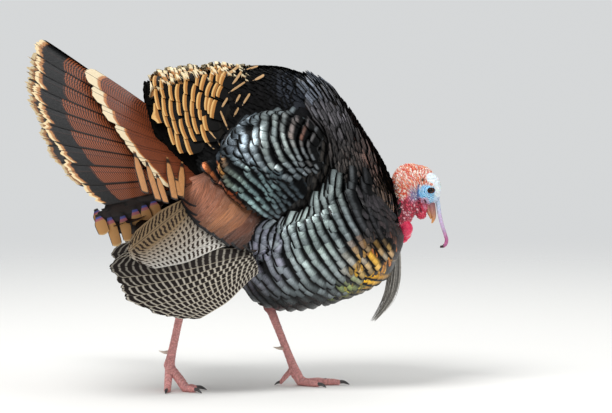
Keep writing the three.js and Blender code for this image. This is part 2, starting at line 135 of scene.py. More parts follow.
# ---- surfaces: each gives a point for two parameters, and a place inside it that tells which way is out
# A superellipsoid: p runs from its front end to its rear end, q round its axis from +Y over the top.
def ovalSurface(form, side=1):
    turn = np.radians(form["pitch"])
    forward = np.array([np.cos(turn), 0, np.sin(turn)])
    up = np.array([-np.sin(turn), 0, np.cos(turn)])
    centre = np.array(form["at"]) * (1, side, 1)

    def at(p, q):
        girth = np.abs(ovalSin(p, form["along"]))
        return (centre + (form["half"][0] * ovalCos(p, form["along"]))[..., None] * forward
                + (form["half"][1] * girth * ovalCos(q, form["around"]))[..., None] * np.array([0, 1, 0])
                + (form["half"][2] * girth * ovalSin(q, form["around"]))[..., None] * up)
    return {"at": at, "inside": centre, "step": 1e-3}


# The cape: half an oval on its foot, whose size runs smoothly through the stations. Past the last
# station it closes as a low dome.
def capeAt(p, q):
    over = np.clip((p - 1) / cape["capReach"], 0, 1)
    s = np.minimum(p, 1)
    topX, topZ, footX, footZ, width = np.moveaxis(through(cape["stations"], s), -1, 0)
    rise = ovalSin(q, cape["fullness"])
    share = np.where(rise > 0, rise, cape["underside"] * rise)
    bow = 4 * cape["rearBow"] * np.abs(s) ** 8 * np.maximum(share, 0) * (1 - share)
    rim = np.stack([footX + share * (topX - footX) - bow, width * ovalCos(q, cape["fullness"]),
                    footZ + share * (topZ - footZ)], -1)
    middle = np.stack([(footX + topX) / 2, 0 * footX, (footZ + topZ) / 2], -1)
    closing = np.sqrt(np.clip(1 - over ** 2, 0.02, 1))[..., None]
    return middle + (rim - middle) * closing - over[..., None] * np.array([cape["capBulge"], 0, 0])


capeSurface = {"at": capeAt, "inside": np.array([40, 0, 430]), "step": 1e-3}


# A sheet beside the body: its parameters are x and z, and depth tells how far out it stands there.
def uprightSheet(side, depth):
    def at(p, q):
        return np.stack([p, side * depth(p, q), q], -1)
    return {"at": at, "inside": np.array([0, -side * 5000, 0]), "step": 0.5}


def wingDepth(x, z):  # the spread wing's distance from the middle plane: leaning out below, cupped along x
    lean = wingPlane["lean"] * (wingPlane["at"][1] - z)
    return wingPlane["out"] + lean - wingPlane["cup"] * (x - wingPlane["at"][0]) ** 2 + wingPlane["clear"]


# Half of the tail's fan: p and q are millimetres along its middle and out to its side.
def tailSurface(name):
    centre = unit(np.array(tail["centre"]))
    sideways = unit(np.array(tail["side"][name]))
    normal = unit(np.cross(centre, sideways))
    normal *= np.sign(normal[0])

    def at(p, q):
        return np.array(tail["root"]) + p[..., None] * centre + q[..., None] * sideways
    return {"at": at, "inside": np.array(tail["root"]) - normal * 5000, "step": 0.5}


# The cupped tuft under the tail: p and q are millimetres along its middle and to its left.
def undertailAt(p, q):
    centre = unit(np.array(undertail["centre"]))
    down = np.array([centre[2], 0, -centre[0]])
    down = down * -np.sign(down[2])
    far = np.maximum(np.hypot(p, q), 1)
    sink = undertail["cup"] * (1 - p / far) * far / undertail["length"]
    return (np.array(undertail["root"]) + centre * p[..., None]
            + (q * undertail["narrow"])[..., None] * np.array([0, 1, 0]) + down * sink[..., None])


undertailSurface = {"at": undertailAt, "inside": np.array([-200, 0, 900]), "step": 0.5}

# The bird's side as the solids give it: how far out they reach at each x, z of a grid
sideGrid = {"low": (-330, 120), "high": (390, 760), "step": 9, "start": 400, "missing": 0}
sideNodes = ("breast", "belly", "mantle", "back", "rump", "scapulars_left", "wing_coverts_left")
ridgeGrid = {"low": (-240, -90), "high": (40, 91), "step": 20, "start": 900, "missing": 560}


def treeOf(nodes):  # one tree of all their faces, for rays
    corners, faces = [], []
    for node in nodes:
        faces += [[i + len(corners) for i in face.vertices] for face in node.data.polygons]
        corners += [corner.co.copy() for corner in node.data.vertices]
    return BVHTree.FromPolygons(corners, faces)


def metBy(tree, grid, axis):  # where a ray from far out, back along one axis, meets a solid at each place
    places = [np.arange(grid["low"][k], grid["high"][k], grid["step"]) for k in (0, 1)]
    found = np.full([len(place) for place in places], float(grid["missing"]))
    for i, k in np.ndindex(found.shape):
        start = np.insert([places[0][i], places[1][k]], axis, grid["start"])
        hit = tree.ray_cast(Vector((start + shift) / 1000), Vector(-np.eye(3)[axis]))[0]
        if hit is not None:
            found[i, k] = hit[axis] * 1000 - shift[axis]
    return found


sideGrid["depths"] = np.maximum(metBy(treeOf([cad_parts[name] for name in sideNodes]), sideGrid, 1), 0)


def sideDepth(x, z):  # cubic B-spline weights give a smooth sheet over the grid of depths
    grid = sideGrid["depths"]
    places = [np.clip((v - sideGrid["low"][k]) / sideGrid["step"], 1, grid.shape[k] - 3)
              for k, v in enumerate((x, z))]
    total = 0
    weights = []
    for place in places:
        t = place % 1
        weights.append([(1 - t) ** 3 / 6, (3 * t ** 3 - 6 * t ** 2 + 4) / 6,
                        (-3 * t ** 3 + 3 * t ** 2 + 3 * t + 1) / 6, t ** 3 / 6])
    i, k = (place.astype(int) for place in places)
    for a, b in np.ndindex(4, 4):
        total = total + weights[0][a] * weights[1][b] * grid[i + a - 1, k + b - 1]
    return total


def ridgeHeight(x, y):  # how high the body stands: between the four nearest heights of the grid, linearly
    grid = ridgeGrid["heights"]
    i = np.clip((x - ridgeGrid["low"][0]) / ridgeGrid["step"], 0, grid.shape[0] - 1.01)
    k = np.clip((y - ridgeGrid["low"][1]) / ridgeGrid["step"], 0, grid.shape[1] - 1.01)
    a, b = i.astype(int), k.astype(int)
    near = grid[a, b] * (1 - i % 1) + grid[a + 1, b] * (i % 1)
    far = grid[a, b + 1] * (1 - i % 1) + grid[a + 1, b + 1] * (i % 1)
    return near * (1 - k % 1) + far * (k % 1)


# A tube along a path: p runs along it and q round it. Rows are x, y, z, half depth and half width.
def tubeSurface(rows):
    rows = np.array(rows, float)

    def at(p, q):
        here = through(rows, p)
        ahead = unit(through(rows, p + 0.01)[..., :3] - through(rows, p - 0.01)[..., :3])
        normal = unit(np.cross(ahead, np.array([0.0, 1.0, 0.0])))
        across = np.cross(normal, ahead)
        return (here[..., :3] + normal * (here[..., 3] * np.cos(q))[..., None]
                + across * (here[..., 4] * np.sin(q))[..., None])
    return {"at": at, "inside": None, "path": lambda p: through(rows, p)[..., :3], "step": 1e-3}


def frameAt(surface, p, q):  # the point, the two directions of the parameters and the outward normal
    step = surface["step"]
    at = surface["at"](p, q)
    alongP = (surface["at"](p + step, q) - surface["at"](p - step, q)) / (2 * step)
    alongQ = (surface["at"](p, q + step) - surface["at"](p, q - step)) / (2 * step)
    normal = unit(np.cross(alongP, alongQ))
    inside = surface["path"](p) if surface["inside"] is None else surface["inside"]
    normal *= np.where(dot(normal, at - inside) < 0, -1, 1)
    return at, alongP, alongQ, normal


besideBody = {name: uprightSheet(side, sideDepth) for name, side in sides.items()}

# ---- what lies buried
bodyTree = treeOf([node for name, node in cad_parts.items()
                   if not name.startswith(("tail_", "beard", "snood"))])
ridgeGrid["heights"] = metBy(bodyTree, ridgeGrid, 2)


# Whether a ray from each point, out along its normal, leaves a solid again farther off than depth.
def buried(points, normals, depth):
    hidden = []
    for point, normal in zip((points + shift + 3 * normals) / 1000, normals):
        start, way, gone = Vector(point), Vector(normal), 0.003
        while True:
            hit, facing, _, distance = bodyTree.ray_cast(start, way)
            if hit is None or (facing.dot(way) < 0 and distance > 0.002):
                hidden.append(gone > depth / 1000)
                break
            gone += distance
            start = hit + way * 1e-5
    return np.array(hidden, bool)


# ---- feathers
plainFeather = {  # every size that a tract may change, in millimetres or as a share of length or width
    "length": 30, "width": 20, "base": 0, "lift": 6, "rise": 1.5, "camber": 2, "roll": 1.5, "tip": 0.35,
    "tipPower": 2.2, "root": 0.35, "shoulder": 0.45, "taper": 0.1, "thick": 0.5, "shaft": 0, "ragged": 0,
    "grid": (7, 8), "patch": 0.003, "uneven": 0.06, "tipCurl": 0, "upright": False,
}


# Lays one feather at each root. On the surface's own directions, half its width is the shoulder curve
# times the width, and its tip is cut back at the sides by the tip's depth. Over the surface it stands
# base + lift * v^rise + camber * (1 - u^2) + roll * u, with u across and v along. The lower sheet shares
# the rim with the upper one and lies the thickness under it.
def layFeathers(name, surface, roots, shape, tint, gloss=None):
    p, q = (np.asarray(roots[key], float) for key in "pq")
    count = len(p)
    chance = np.random.default_rng(len(name) * 97 + count)
    size = {**plainFeather, **{key: item for key, item in shape.items() if key in plainFeather}}
    if "length" in roots:
        size["length"] = roots["length"]
    value = {key: np.broadcast_to(np.asarray(item, float), (count,))[:, None, None]
             for key, item in size.items() if key != "grid"}
    _, alongP, alongQ, normal = frameAt(surface, p, q)
    toward = unit(roots["way"] - dot(roots["way"], normal) * normal)
    across = np.cross(normal, toward)
    e, f, g = dot(alongP, alongP), dot(alongP, alongQ), dot(alongQ, alongQ)

    def perMillimetre(way):  # how the parameters change along a direction on the surface
        a, b = dot(way, alongP), dot(way, alongQ)
        return (g * a - f * b) / (e * g - f * f), (e * b - f * a) / (e * g - f * f)

    wide, high = size["grid"]
    u = np.linspace(-1, 1, wide)
    if size["shaft"]:
        u = np.sign(u) * np.abs(u) ** 1.6
    v = 1 - (1 - np.linspace(0, 1, high)) ** 1.25
    u, v = u[None, None, :], v[None, :, None]
    jitter = 1 + value["uneven"] * chance.standard_normal((2, count, 1, 1))
    length = value["length"] * jitter[0]
    width = value["width"] * jitter[1]
    half = width / 2 * (value["root"] + (1 - value["root"]) * smooth(v / value["shoulder"]))
    half = half * (1 - value["taper"] * v ** 3)
    ragged = value["ragged"] * chance.standard_normal((count, 1, wide)) * v ** 6
    y = length * v * (1 + ragged) - value["tip"] * width * np.abs(u) ** value["tipPower"] * v ** 2
    x = u * half
    (pAhead, qAhead), (pAcross, qAcross) = perMillimetre(toward), perMillimetre(across)
    pp = p[:, None, None] + y * pAhead[..., None] + x * pAcross[..., None]
    qq = q[:, None, None] + y * qAhead[..., None] + x * qAcross[..., None]
    ground, _, _, out = frameAt(surface, pp, qq)
    height = (value["base"] + value["lift"] * v ** value["rise"]
              + value["camber"] * (1 - u ** 2) * smooth(3 * v)
              + value["roll"] * u * smooth(2 * v) + value["tipCurl"] * v ** 8
              + value["shaft"] * np.exp(-(u / 0.06) ** 2) * (1 - v))
    upper = ground + out * height[..., None]
    lower = upper - out * (value["thick"] * np.ones_like(height))[..., None]

    # Indices: the upper grid, then the inner part of the lower one
    perFeather = wide * high + (wide - 2) * (high - 2)
    top = np.arange(wide * high).reshape(high, wide)
    under = top.copy()
    under[1:-1, 1:-1] = wide * high + np.arange((wide - 2) * (high - 2)).reshape(high - 2, wide - 2)

    def quads(i):  # across x toward is minus the normal, so the upper quads are turned round
        return np.stack([i[:-1, :-1], i[:-1, 1:], i[1:, 1:], i[1:, :-1]], -1).reshape(-1, 4)
    faces = np.concatenate([quads(top)[:, ::-1], quads(under)])
    points = np.concatenate([upper.reshape(count, -1, 3), lower[:, 1:-1, 1:-1].reshape(count, -1, 3)], 1)
    allFaces = (faces[None] + (np.arange(count) * perFeather)[:, None, None]).reshape(-1, 4)

    grid = np.stack(np.broadcast_arrays((u[0] + 1) / 2, v[0]), -1).reshape(-1, 2)
    inner = grid.reshape(high, wide, 2)[1:-1, 1:-1].reshape(-1, 2)
    vane = np.concatenate([grid, inner])
    vaneLoops = np.broadcast_to(vane[faces][None], (count,) + faces.shape + (2,))
    # The bake map: a patch for each feather at its root's place on the surface, its underside beside it
    spot = np.stack([(p - p.min()) / max(np.ptp(p), 1e-6), (q - q.min()) / max(np.ptp(q), 1e-6)], -1)
    isUnder = np.arange(len(faces)) >= len(faces) // 2
    local = vane[faces] * np.where(isUnder, 0.4, 1)[:, None, None]
    local[isUnder, :, 0] += 1.1
    bake = 0.01 + 0.97 * spot[:, None, None] + local[None] * size["patch"]

    piece = meshPiece(name, points.reshape(-1, 3), allFaces)
    for layer, values in (("vane", vaneLoops), ("OFBake", bake)):
        piece.data.uv_layers.new(name=layer).data.foreach_set("uv", values.astype(np.float32).ravel())
    store(piece, "tint", np.repeat(tint, perFeather, 0))
    store(piece, "seed", np.repeat(chance.random(count), perFeather))
    store(piece, "gloss", np.repeat(np.ones(count) if gloss is None else gloss, perFeather))
    if size["upright"]:  # the bars lean across the vane by minus toward's rise over across's rise
        rise = np.where(np.abs(across[:, 2]) > 0.2, across[:, 2], np.inf)
        lean = np.clip(-toward[:, 2] / rise, -1.2, 1.2)
        store(piece, "lean", np.repeat(lean, perFeather))
    piece.data.set_sharp_from_angle(angle=np.radians(70))
    return piece


def store(piece, name, values):  # one number, or red, green and blue, for each point
    values = np.asarray(values, np.float32)
    kind, field = "FLOAT", "value"
    if values.ndim == 2:
        values = np.concatenate([values, np.ones((len(values), 1), np.float32)], 1)
        kind, field = "FLOAT_COLOR", "color"
    piece.data.attributes.new(name, kind, "POINT").data.foreach_set(field, values.ravel())


def placed(name, data):  # a new object in the scene
    piece = bpy.data.objects.new(name, data)
    bpy.context.scene.collection.objects.link(piece)
    return piece


def meshPiece(name, points, quads, triangles=()):  # a smooth mesh from points in millimetres
    mesh = bpy.data.meshes.new(name)
    quads = np.asarray(quads, np.int32).reshape(-1, 4)
    triangles = np.asarray(triangles, np.int32).reshape(-1, 3)
    corners = np.concatenate([quads.ravel(), triangles.ravel()])
    sizes = np.repeat([4, 3], [len(quads), len(triangles)])
    mesh.vertices.add(len(points))
    mesh.vertices.foreach_set("co", ((points + shift) / 1000).astype(np.float32).ravel())
    mesh.loops.add(len(corners))
    mesh.loops.foreach_set("vertex_index", corners)
    mesh.polygons.add(len(sizes))
    mesh.polygons.foreach_set("loop_start", (np.cumsum(sizes) - sizes).astype(np.int32))
    mesh.polygons.foreach_set("use_smooth", np.ones(len(sizes), bool))
    mesh.update(calc_edges=True)
    mesh.validate()
    piece = placed(name, mesh)
    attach(piece, "root")
    return piece


# Roots in rows over a surface. A row is where field(point) has one value, found along p at each q, or one
# value of p where there is no field. Rows stand rowGap apart in the field, or along the line q = middle,
# and feathers stand gap apart along each row, every other row half a step along. Feathers point across
# their row, the way p grows.
def rowsOver(surface, shape, sweep, middle=0, field=None, seed=1, loose=0.1):
    chance = np.random.default_rng(seed)
    span, rowGap, gap = (shape[key] for key in ("span", "rowGap", "gap"))
    q = np.linspace(*sweep, 360)
    line = np.linspace(*((0.02, np.pi - 0.02) if field else span), 300)
    if field is None:
        run = pathLengths(surface["at"](line, np.full(len(line), middle)))
        levels = np.interp(np.arange(rowGap / 2, run[-1], rowGap), run, line)
        perMillimetre = (span[1] - span[0]) / run[-1]
    else:
        values = field(surface["at"](line[:, None] + 0 * q, q + 0 * line[:, None]))
        values = np.maximum.accumulate(values, axis=0) + 1e-4 * np.arange(len(line))[:, None]
        levels = np.arange(*span, rowGap)
        perMillimetre = 0.004
    found = []
    for row, level in enumerate(levels):
        if field is None:
            p = level + 0 * q
        else:
            p = np.array([np.interp(level, values[:, k], line) for k in range(len(q))])
        points = surface["at"](p, q)
        reached = np.ones(len(q), bool) if field is None else np.abs(field(points) - level) < 3
        steps = np.linalg.norm(np.diff(points, axis=0), axis=-1) * (reached[1:] & reached[:-1])
        arc = np.concatenate([[0], np.cumsum(steps)])
        count = int(arc[-1] / gap)
        if count < 1:
            continue
        at = (np.arange(count) + (row % 2) / 2 + 0.25) / count * arc[-1]
        at = np.clip(at + loose * gap * chance.standard_normal(count), 0, arc[-1])
        arc = arc + 1e-6 * np.arange(len(arc))
        moved = loose * rowGap * perMillimetre * chance.standard_normal(count)
        ahead = [np.interp(at + 2, arc, item) for item in (p, q)]
        here = [np.interp(at, arc, item) for item in (p, q)]
        behind = [np.interp(at - 2, arc, item) for item in (p, q)]
        tangent = surface["at"](*ahead) - surface["at"](*behind)
        found.append(np.concatenate([np.stack([here[0] + moved, here[1]], -1), tangent], 1))
    p, q, *tangent = np.concatenate(found).T
    at, alongP, _, normal = frameAt(surface, p, q)
    way = unit(np.cross(normal, np.stack(tangent, -1)))
    way *= np.where(dot(way, alongP) < 0, -1, 1)
    return {"p": p, "q": q, "at": at, "normal": normal, "way": way}


# Rows on the bird's side, between curves drawn in its side view. Each curve is where the tips of a row of
# feathers lie. Feathers point square to their row, to the side that hint tells, or else along hint itself.
def rowsBetween(curves, shape, side, seed=1, square=True):
    chance = np.random.default_rng(seed)
    surface = uprightSheet(side, sideDepth)
    gap, loose, length = (shape[key] for key in ("gap", "loose", "length"))
    curves = np.array(curves, float)
    t = np.linspace(0, 1, 80)
    found = []
    across = pathLengths(curves[:, curves.shape[1] // 2])
    even = np.interp(np.linspace(0, across[-1], shape["rows"]), across, np.linspace(0, 1, len(curves)))
    for row, share in enumerate(even):
        curve = through(through(curves.reshape(len(curves), -1), share).reshape(-1, 2), t)
        arc = pathLengths(surface["at"](*curve.T))
        place = np.arange((row % 2) * gap / 2, arc[-1], gap)
        place = place + loose * gap * chance.standard_normal(len(place))
        x, z, x2, z2 = (np.interp(place + ahead, arc, v) for ahead in (0, 1) for v in curve.T)
        found.append(np.stack([x, z, x2, z2, place / arc[-1], np.full(len(place), share)], -1))
    x, z, x2, z2, along, share = np.concatenate(found).T
    tips, _, _, normal = frameAt(surface, x, z)
    hint = np.array([shape["hint"][0], 0, shape["hint"][1]], float)
    way = unit(np.cross(normal, surface["at"](x2, z2) - tips))
    way *= np.where(way @ hint < 0, -1, 1)[:, None]
    if not square:
        way = unit(hint - dot(normal, hint + 0 * normal) * normal)
    size = length(share, along) if callable(length) else np.full(len(x), float(length))
    back = tips - way * size[:, None]
    return {"p": back[:, 0], "q": back[:, 2], "at": tips, "normal": normal, "way": way, "length": size,
            "along": along, "share": share}


# Whether points lie between the first and the last curve: a line along x then crosses their rim, grown
# by the margin, an odd number of times.
def insideCurves(points, curves, margin=0):
    rim = np.array(list(curves[0]) + list(curves[-1])[::-1], float)
    rim += margin * unit(rim - rim.mean(0))
    x, z = points[:, 0, None], points[:, 2, None]
    (x0, z0), (x1, z1) = rim.T, np.roll(rim, -1, 0).T
    crosses = ((z0 > z) != (z1 > z)) & (x < x0 + (z - z0) * (x1 - x0) / np.where(z1 == z0, 1e-9, z1 - z0))
    return crosses.sum(1) % 2 == 1


# ---- materials
def feed(tree, node, inputs):  # sets or links a node's inputs
    for key, value in (inputs if isinstance(inputs, dict) else dict(enumerate(inputs))).items():
        if isinstance(value, bpy.types.Node):
            value = next(socket for socket in value.outputs if socket.enabled)
        if isinstance(value, bpy.types.NodeSocket):
            tree.links.new(value, node.inputs[key])
        elif value is not None:
            node.inputs[key].default_value = value


def add(tree, kind, inputs=(), **settings):  # one node with its settings, values and links
    node = tree.nodes.new("ShaderNode" + kind)
    for key, value in settings.items():
        setattr(node, key, value)
    feed(tree, node, inputs)
    return node


def rgba(hexColour):  # for a node's input
    return (*linear(hexColour), 1)


def newMaterial(name, metallic=0.0, ior=1.5):  # with its node tree and its Principled shader
    material = bpy.data.materials.new(name)
    material.use_nodes = True
    shader = material.node_tree.nodes["Principled BSDF"]
    feed(material.node_tree, shader, {"Metallic": metallic, "IOR": ior})
    return material, material.node_tree, shader


# Keratin feather vanes: barbs in fine slanting lines, bands across the tip, bars and a shaft. The colour
# of the metallic sheen comes from thin layers in the barbules, so it changes from place to place.
# A look may also paint light into the colour: a dark band as painted shadow, a soft rim as painted shade and
# a lighter band as painted highlight.
def plumage(name, look):
    material, tree, shader = newMaterial(name, look.get("metallic", 0.0), 1.54)
    length, width = look["length"], look["width"]  # millimetres, for the scale of the patterns
    vane = add(tree, "UVMap", uv_map="vane")
    u, v = add(tree, "SeparateXYZ", (vane,)).outputs[:2]
    tint = add(tree, "Attribute", attribute_name="tint").outputs["Color"]
    seed = add(tree, "Attribute", attribute_name="seed").outputs["Fac"]
    gloss = add(tree, "Attribute", attribute_name="gloss").outputs["Fac"]
    signed = add(tree, "Math", (u, 2.0, -1.0), operation="MULTIPLY_ADD")
    side = add(tree, "Math", (signed,), operation="ABSOLUTE")
    back = add(tree, "Math", (side, -look.get("sweep", 0.6) * width), operation="MULTIPLY")
    along = add(tree, "Math", (v, length, back), operation="MULTIPLY_ADD")
    fine = add(tree, "Math", (along, 1 / look.get("barb", 1.6)), operation="MULTIPLY")
    slow = add(tree, "Math", (signed, width / 14), operation="MULTIPLY")
    many = add(tree, "Math", (seed, 90.0), operation="MULTIPLY")
    barbs = add(tree, "TexNoise", {"Vector": add(tree, "CombineXYZ", (slow, fine, many)), "Scale": 1.0,
                                   "Detail": 2.0, "Roughness": 0.6})
    spread = look.get("streak", 0.35)
    shade = add(tree, "MapRange", {0: barbs, 1: 0.3, 2: 0.7, 3: 1 - spread, 4: 1 + spread})
    colour = add(tree, "Mix", {0: 1.0, 6: tint, 7: shade}, data_type="RGBA", blend_type="MULTIPLY")
    ragged = add(tree, "Math", (add(tree, "Math", (barbs, 0.5), operation="SUBTRACT"),
                                look.get("ragged", 0.05), v), operation="MULTIPLY_ADD")
    bars = look.get("bars")
    if bars:
        wave = add(tree, "TexNoise", {"Vector": add(tree, "CombineXYZ", (signed, v, many)),
                                      "Scale": bars.get("waves", 6.0), "Detail": 1.0})
        lean = add(tree, "Attribute", attribute_name="lean").outputs["Fac"]
        lean = add(tree, "Math", (lean, signed), operation="MULTIPLY")
        lean = add(tree, "Math", (lean, width / 2), operation="MULTIPLY")
        place = add(tree, "Math", (v, length, lean), operation="MULTIPLY_ADD")
        moved = add(tree, "Math", (wave, bars.get("wobble", 4.0), place), operation="MULTIPLY_ADD")
        step = add(tree, "Math", (moved, 1 / bars["gap"], seed), operation="MULTIPLY_ADD")
        fold = add(tree, "Math", (step, 0.5), operation="PINGPONG")
        half = bars["share"] / 2
        soft = bars.get("soft", 0.06)
        bar = add(tree, "MapRange", {0: fold, 1: half - soft, 2: half + soft, 3: 1.0, 4: 0.0},
                  interpolation_type="SMOOTHSTEP")
        if bars.get("spots"):  # bars broken by pale shafts and rims
            web = add(tree, "Math", (side, 0.5), operation="PINGPONG")
            web = add(tree, "MapRange", {0: web, 1: 0.08, 2: bars["spots"]})
            bar = add(tree, "Math", (bar, web), operation="MULTIPLY")
        colour = add(tree, "Mix", {0: bar, 6: colour, 7: rgba(bars["hex"])}, data_type="RGBA")
    for start, end, soft, hexColour in look.get("bands", ()):
        share = add(tree, "MapRange", {0: ragged, 1: start, 2: start + soft},
                    interpolation_type="SMOOTHSTEP")
        if end < 1:
            close = add(tree, "MapRange", {0: ragged, 1: end, 2: end + soft, 3: 1.0, 4: 0.0},
                        interpolation_type="SMOOTHSTEP")
            share = add(tree, "Math", (share, close), operation="MULTIPLY")
        if look.get("glossBands"):
            share = add(tree, "Math", (share, gloss), operation="MULTIPLY")
        colour = add(tree, "Mix", {0: share, 6: colour, 7: rgba(hexColour)}, data_type="RGBA")
    if look.get("paintedHighlight"):  # a painted highlight, a lighter band: its place along the vane, its reach and its strength
        middle, reach, strength = look["paintedHighlight"]
        offset = add(tree, "Math", (ragged, middle), operation="SUBTRACT")
        offset = add(tree, "Math", (offset,), operation="ABSOLUTE")
        light = add(tree, "MapRange", {0: offset, 1: 0.0, 2: reach, 3: 1 + strength, 4: 1 - strength / 2},
                    interpolation_type="SMOOTHSTEP")
        colour = add(tree, "Mix", {0: 1.0, 6: colour, 7: light}, data_type="RGBA", blend_type="MULTIPLY")
    if look.get("rim"):  # a line along both edges of the vane; a soft wide one is painted shade towards the edges
        inner = look["rimFrom"]
        line = add(tree, "MapRange", {0: side, 1: inner, 2: inner + look.get("rimSoft", 0.06), 3: 0.0,
                                      4: look.get("rimDepth", 1.0)})
        colour = add(tree, "Mix", {0: line, 6: colour, 7: rgba(look["rim"])}, data_type="RGBA")
    if look.get("shaft"):
        line = add(tree, "MapRange", {0: side, 1: look.get("shaftWidth", 0.05), 2: 0.02})
        colour = add(tree, "Mix", {0: line, 6: colour, 7: rgba(look["shaft"])}, data_type="RGBA")
    rough = look.get("roughness", 0.5)
    rough = add(tree, "MapRange", {0: barbs, 1: 0.3, 2: 0.7, 3: rough - 0.08, 4: rough + 0.1})
    bump = add(tree, "Bump", {"Strength": look.get("bump", 0.4), "Distance": 0.0006, "Height": barbs})
    feed(tree, shader, {"Base Color": colour, "Roughness": rough, "Normal": bump,
                        "Specular IOR Level": look.get("shine", 0.5)})
    return material


def dress(piece, material, slot, *nodes):  # gives a piece its material and hides the nodes it replaces; slot is not used
    piece.data.materials.append(material)
    if nodes:
        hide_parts(*nodes)
    print(piece.name, len(piece.data.polygons) * 2, "triangles")


# ---- laying a tract
# Drops the roots that lie deeper than depth under another form, tints the rest and lays them.
def coat(name, surface, roots, shape, base, patches=(), depth=16, seed=1, gloss=None, flecks=0.0,
         shades=0.16, where=None):
    keep = ~buried(roots["at"], roots["normal"], depth)
    if where:
        keep &= where(roots)
    roots = {key: item[keep] for key, item in roots.items()}
    tint = varied(paint(roots["at"], base, patches, flecks, seed + 1), shades, np.random.default_rng(seed))
    return layFeathers(name, surface, roots, shape, tint, gloss and gloss(roots["at"]))


# ---- breast
# The dark band over the root end of each vane is painted shadow from the row ahead, the soft wide rim is
# painted shade towards the vane's edges, and the lighter band near the tip is a painted highlight.
bodyFeather = plumage("iridescentBodyFeather", {
    "length": 46, "width": 40, "barb": 1.5, "streak": 0.3, "metallic": 0.8, "roughness": 0.3,
    "ragged": 0.03, "glossBands": True,
    "bands": [(0.0, 0.6, 0.16, "#0a0c0e"), (0.91, 1, 0.03, "#050506")], "rim": "#0b0c0e", "rimFrom": 0.3,
    "rimSoft": 0.9, "rimDepth": 0.45, "paintedHighlight": (0.8, 0.14, 0.5),
})
# Lilac steel behind, silver and mint in the middle, gold and green low in front, brown above; the near-black
# patch low across the breast is painted shade
breastTint = [
    (20, 300, 46, 80, "#8e8aa0", 0.9), (105, 340, 60, 80, "#b4c6c1", 0.95),
    (172, 420, 40, 40, "#a8b5b1", 0.8), (127, 212, 140, 44, "#151818", 0.95),
    (20, 240, 40, 40, "#34353a", 0.8), (228, 392, 24, 60, "#3e3a36", 0.9),
    (212, 312, 30, 24, "#b06a2e", 0.8), (246, 280, 58, 42, "#dfa81c", 1.0),
    (284, 298, 26, 28, "#a8682a", 0.9), (200, 236, 36, 15, "#8c9c34", 0.8),
    (285, 384, 60, 66, "#39312d", 1.0),
]
breastCurves = [
    [(22, 366), (1, 346), (-7, 313), (-5, 277), (12, 241), (51, 209)],
    [(59, 375), (44, 342), (46, 306), (59, 270), (87, 234), (138, 205)],
    [(106, 407), (89, 368), (95, 324), (113, 288), (142, 252), (185, 219)],
    [(134, 447), (124, 404), (127, 360), (143, 321), (171, 281), (210, 241)],
    [(163, 456), (156, 415), (162, 375), (178, 339), (199, 306), (232, 263)],
    [(185, 456), (181, 415), (189, 378), (203, 346), (221, 317), (250, 277)],
    [(209, 451), (210, 415), (216, 378), (227, 350), (243, 321), (265, 288)],
]
chestCurves = [
    [(224, 412), (240, 400), (256, 387), (272, 372), (287, 355)],
    [(228, 374), (243, 367), (258, 358), (274, 348), (290, 335)],
    [(230, 338), (245, 334), (260, 328), (275, 321), (290, 312)],
    [(220, 305), (239, 304), (257, 301), (273, 299), (286, 294)],
    [(203, 273), (225, 272), (245, 272), (264, 274), (279, 277)],
    [(190, 243), (213, 243), (235, 247), (255, 253), (272, 261)],
    [(176, 216), (203, 218), (225, 224), (246, 232), (264, 241)],
]
chestTint = [(300, 345, 40, 60, "#4c3026", 0.8), (228, 268, 60, 34, "#eeb01c", 1.0),
             (264, 284, 34, 30, "#cc6a2c", 0.9), (200, 232, 44, 22, "#96952c", 0.8)]
neckFoot = (314, 361)  # the rows stand round the foot of the neck
wholeBreast = ovalSurface(breast)
halves = {"left": (-np.pi / 2, np.pi / 2), "right": (np.pi / 2, 3 * np.pi / 2)}
wholeTurn = (-np.pi, np.pi)
breastParts = {
    "breast": {"span": (112, 400), "rowGap": 18.5, "gap": 21, "length": 46, "width": 42, "base": -8,
               "lift": 12, "rise": 1.2, "camber": 1.2, "roll": 2.4, "tip": 0.06, "tipPower": 2.6,
               "grid": (7, 10), "patch": 0.012, "uneven": 0.03, "hex": "#4c5458", "flecks": 0.0,
               "tint": breastTint},
    "chest": {"span": (12, 150), "rowGap": 10, "gap": 8, "length": 34, "width": 12, "lift": 5, "base": -14,
              "rise": 1.2, "camber": 1.5, "roll": 0.6, "tip": 0.6, "tipPower": 2, "grid": (5, 8),
              "patch": 0.006, "uneven": 0.12, "hex": "#2c282c", "flecks": 1.0, "tint": chestTint},
}
columns = {"rows": 14, "length": 50, "gap": 15, "hint": (-1, -0.3), "loose": 0.08, "width": 36, "base": 0.5,
           "lift": 12, "rise": 1.3, "tipCurl": -3.5, "camber": 1, "roll": 1.5, "tip": 0.05, "tipPower": 2.6,
           "grid": (7, 12), "patch": 0.012, "uneven": 0.035}
strands = {"rows": 15, "length": 40, "gap": 7.5, "hint": (0.2, -1), "loose": 0.15, "width": 11, "lift": 7,
           "tip": 0.7, "tipPower": 1.8, "tipCurl": -2, "camber": 1.4, "roll": 0.4, "grid": (5, 8),
           "patch": 0.005, "uneven": 0.1, "hex": "#2c282c", "darkHex": "#1c1a1c", "darkShare": 0.25}


def neckDistance(points):  # ovals round the foot of the neck
    return np.hypot(points[..., 0] - neckFoot[0], 1.2 * (points[..., 2] - neckFoot[1]))


def breastGloss(at):  # 1, less a wide bell beside the neck, where the feathers are dull
    return 1 - 0.97 * np.exp(-(((at[:, 0] - 292) / 62) ** 2 + ((at[:, 2] - 388) / 66) ** 2) ** 2)


def notOnSide(roots, curves, margin=-10):  # roots that a tract on the side won't cover
    return ~insideCurves(roots["at"], curves, margin) | (np.abs(roots["normal"][:, 1]) < 0.35)


def bareOfTracts(roots):  # no roots under the columns, nor under the throat that hangs before the breast
    x, y, z = roots["at"].T
    return notOnSide(roots, breastCurves) & ((np.abs(y) > 26) | (x < 296) | (z < 296))


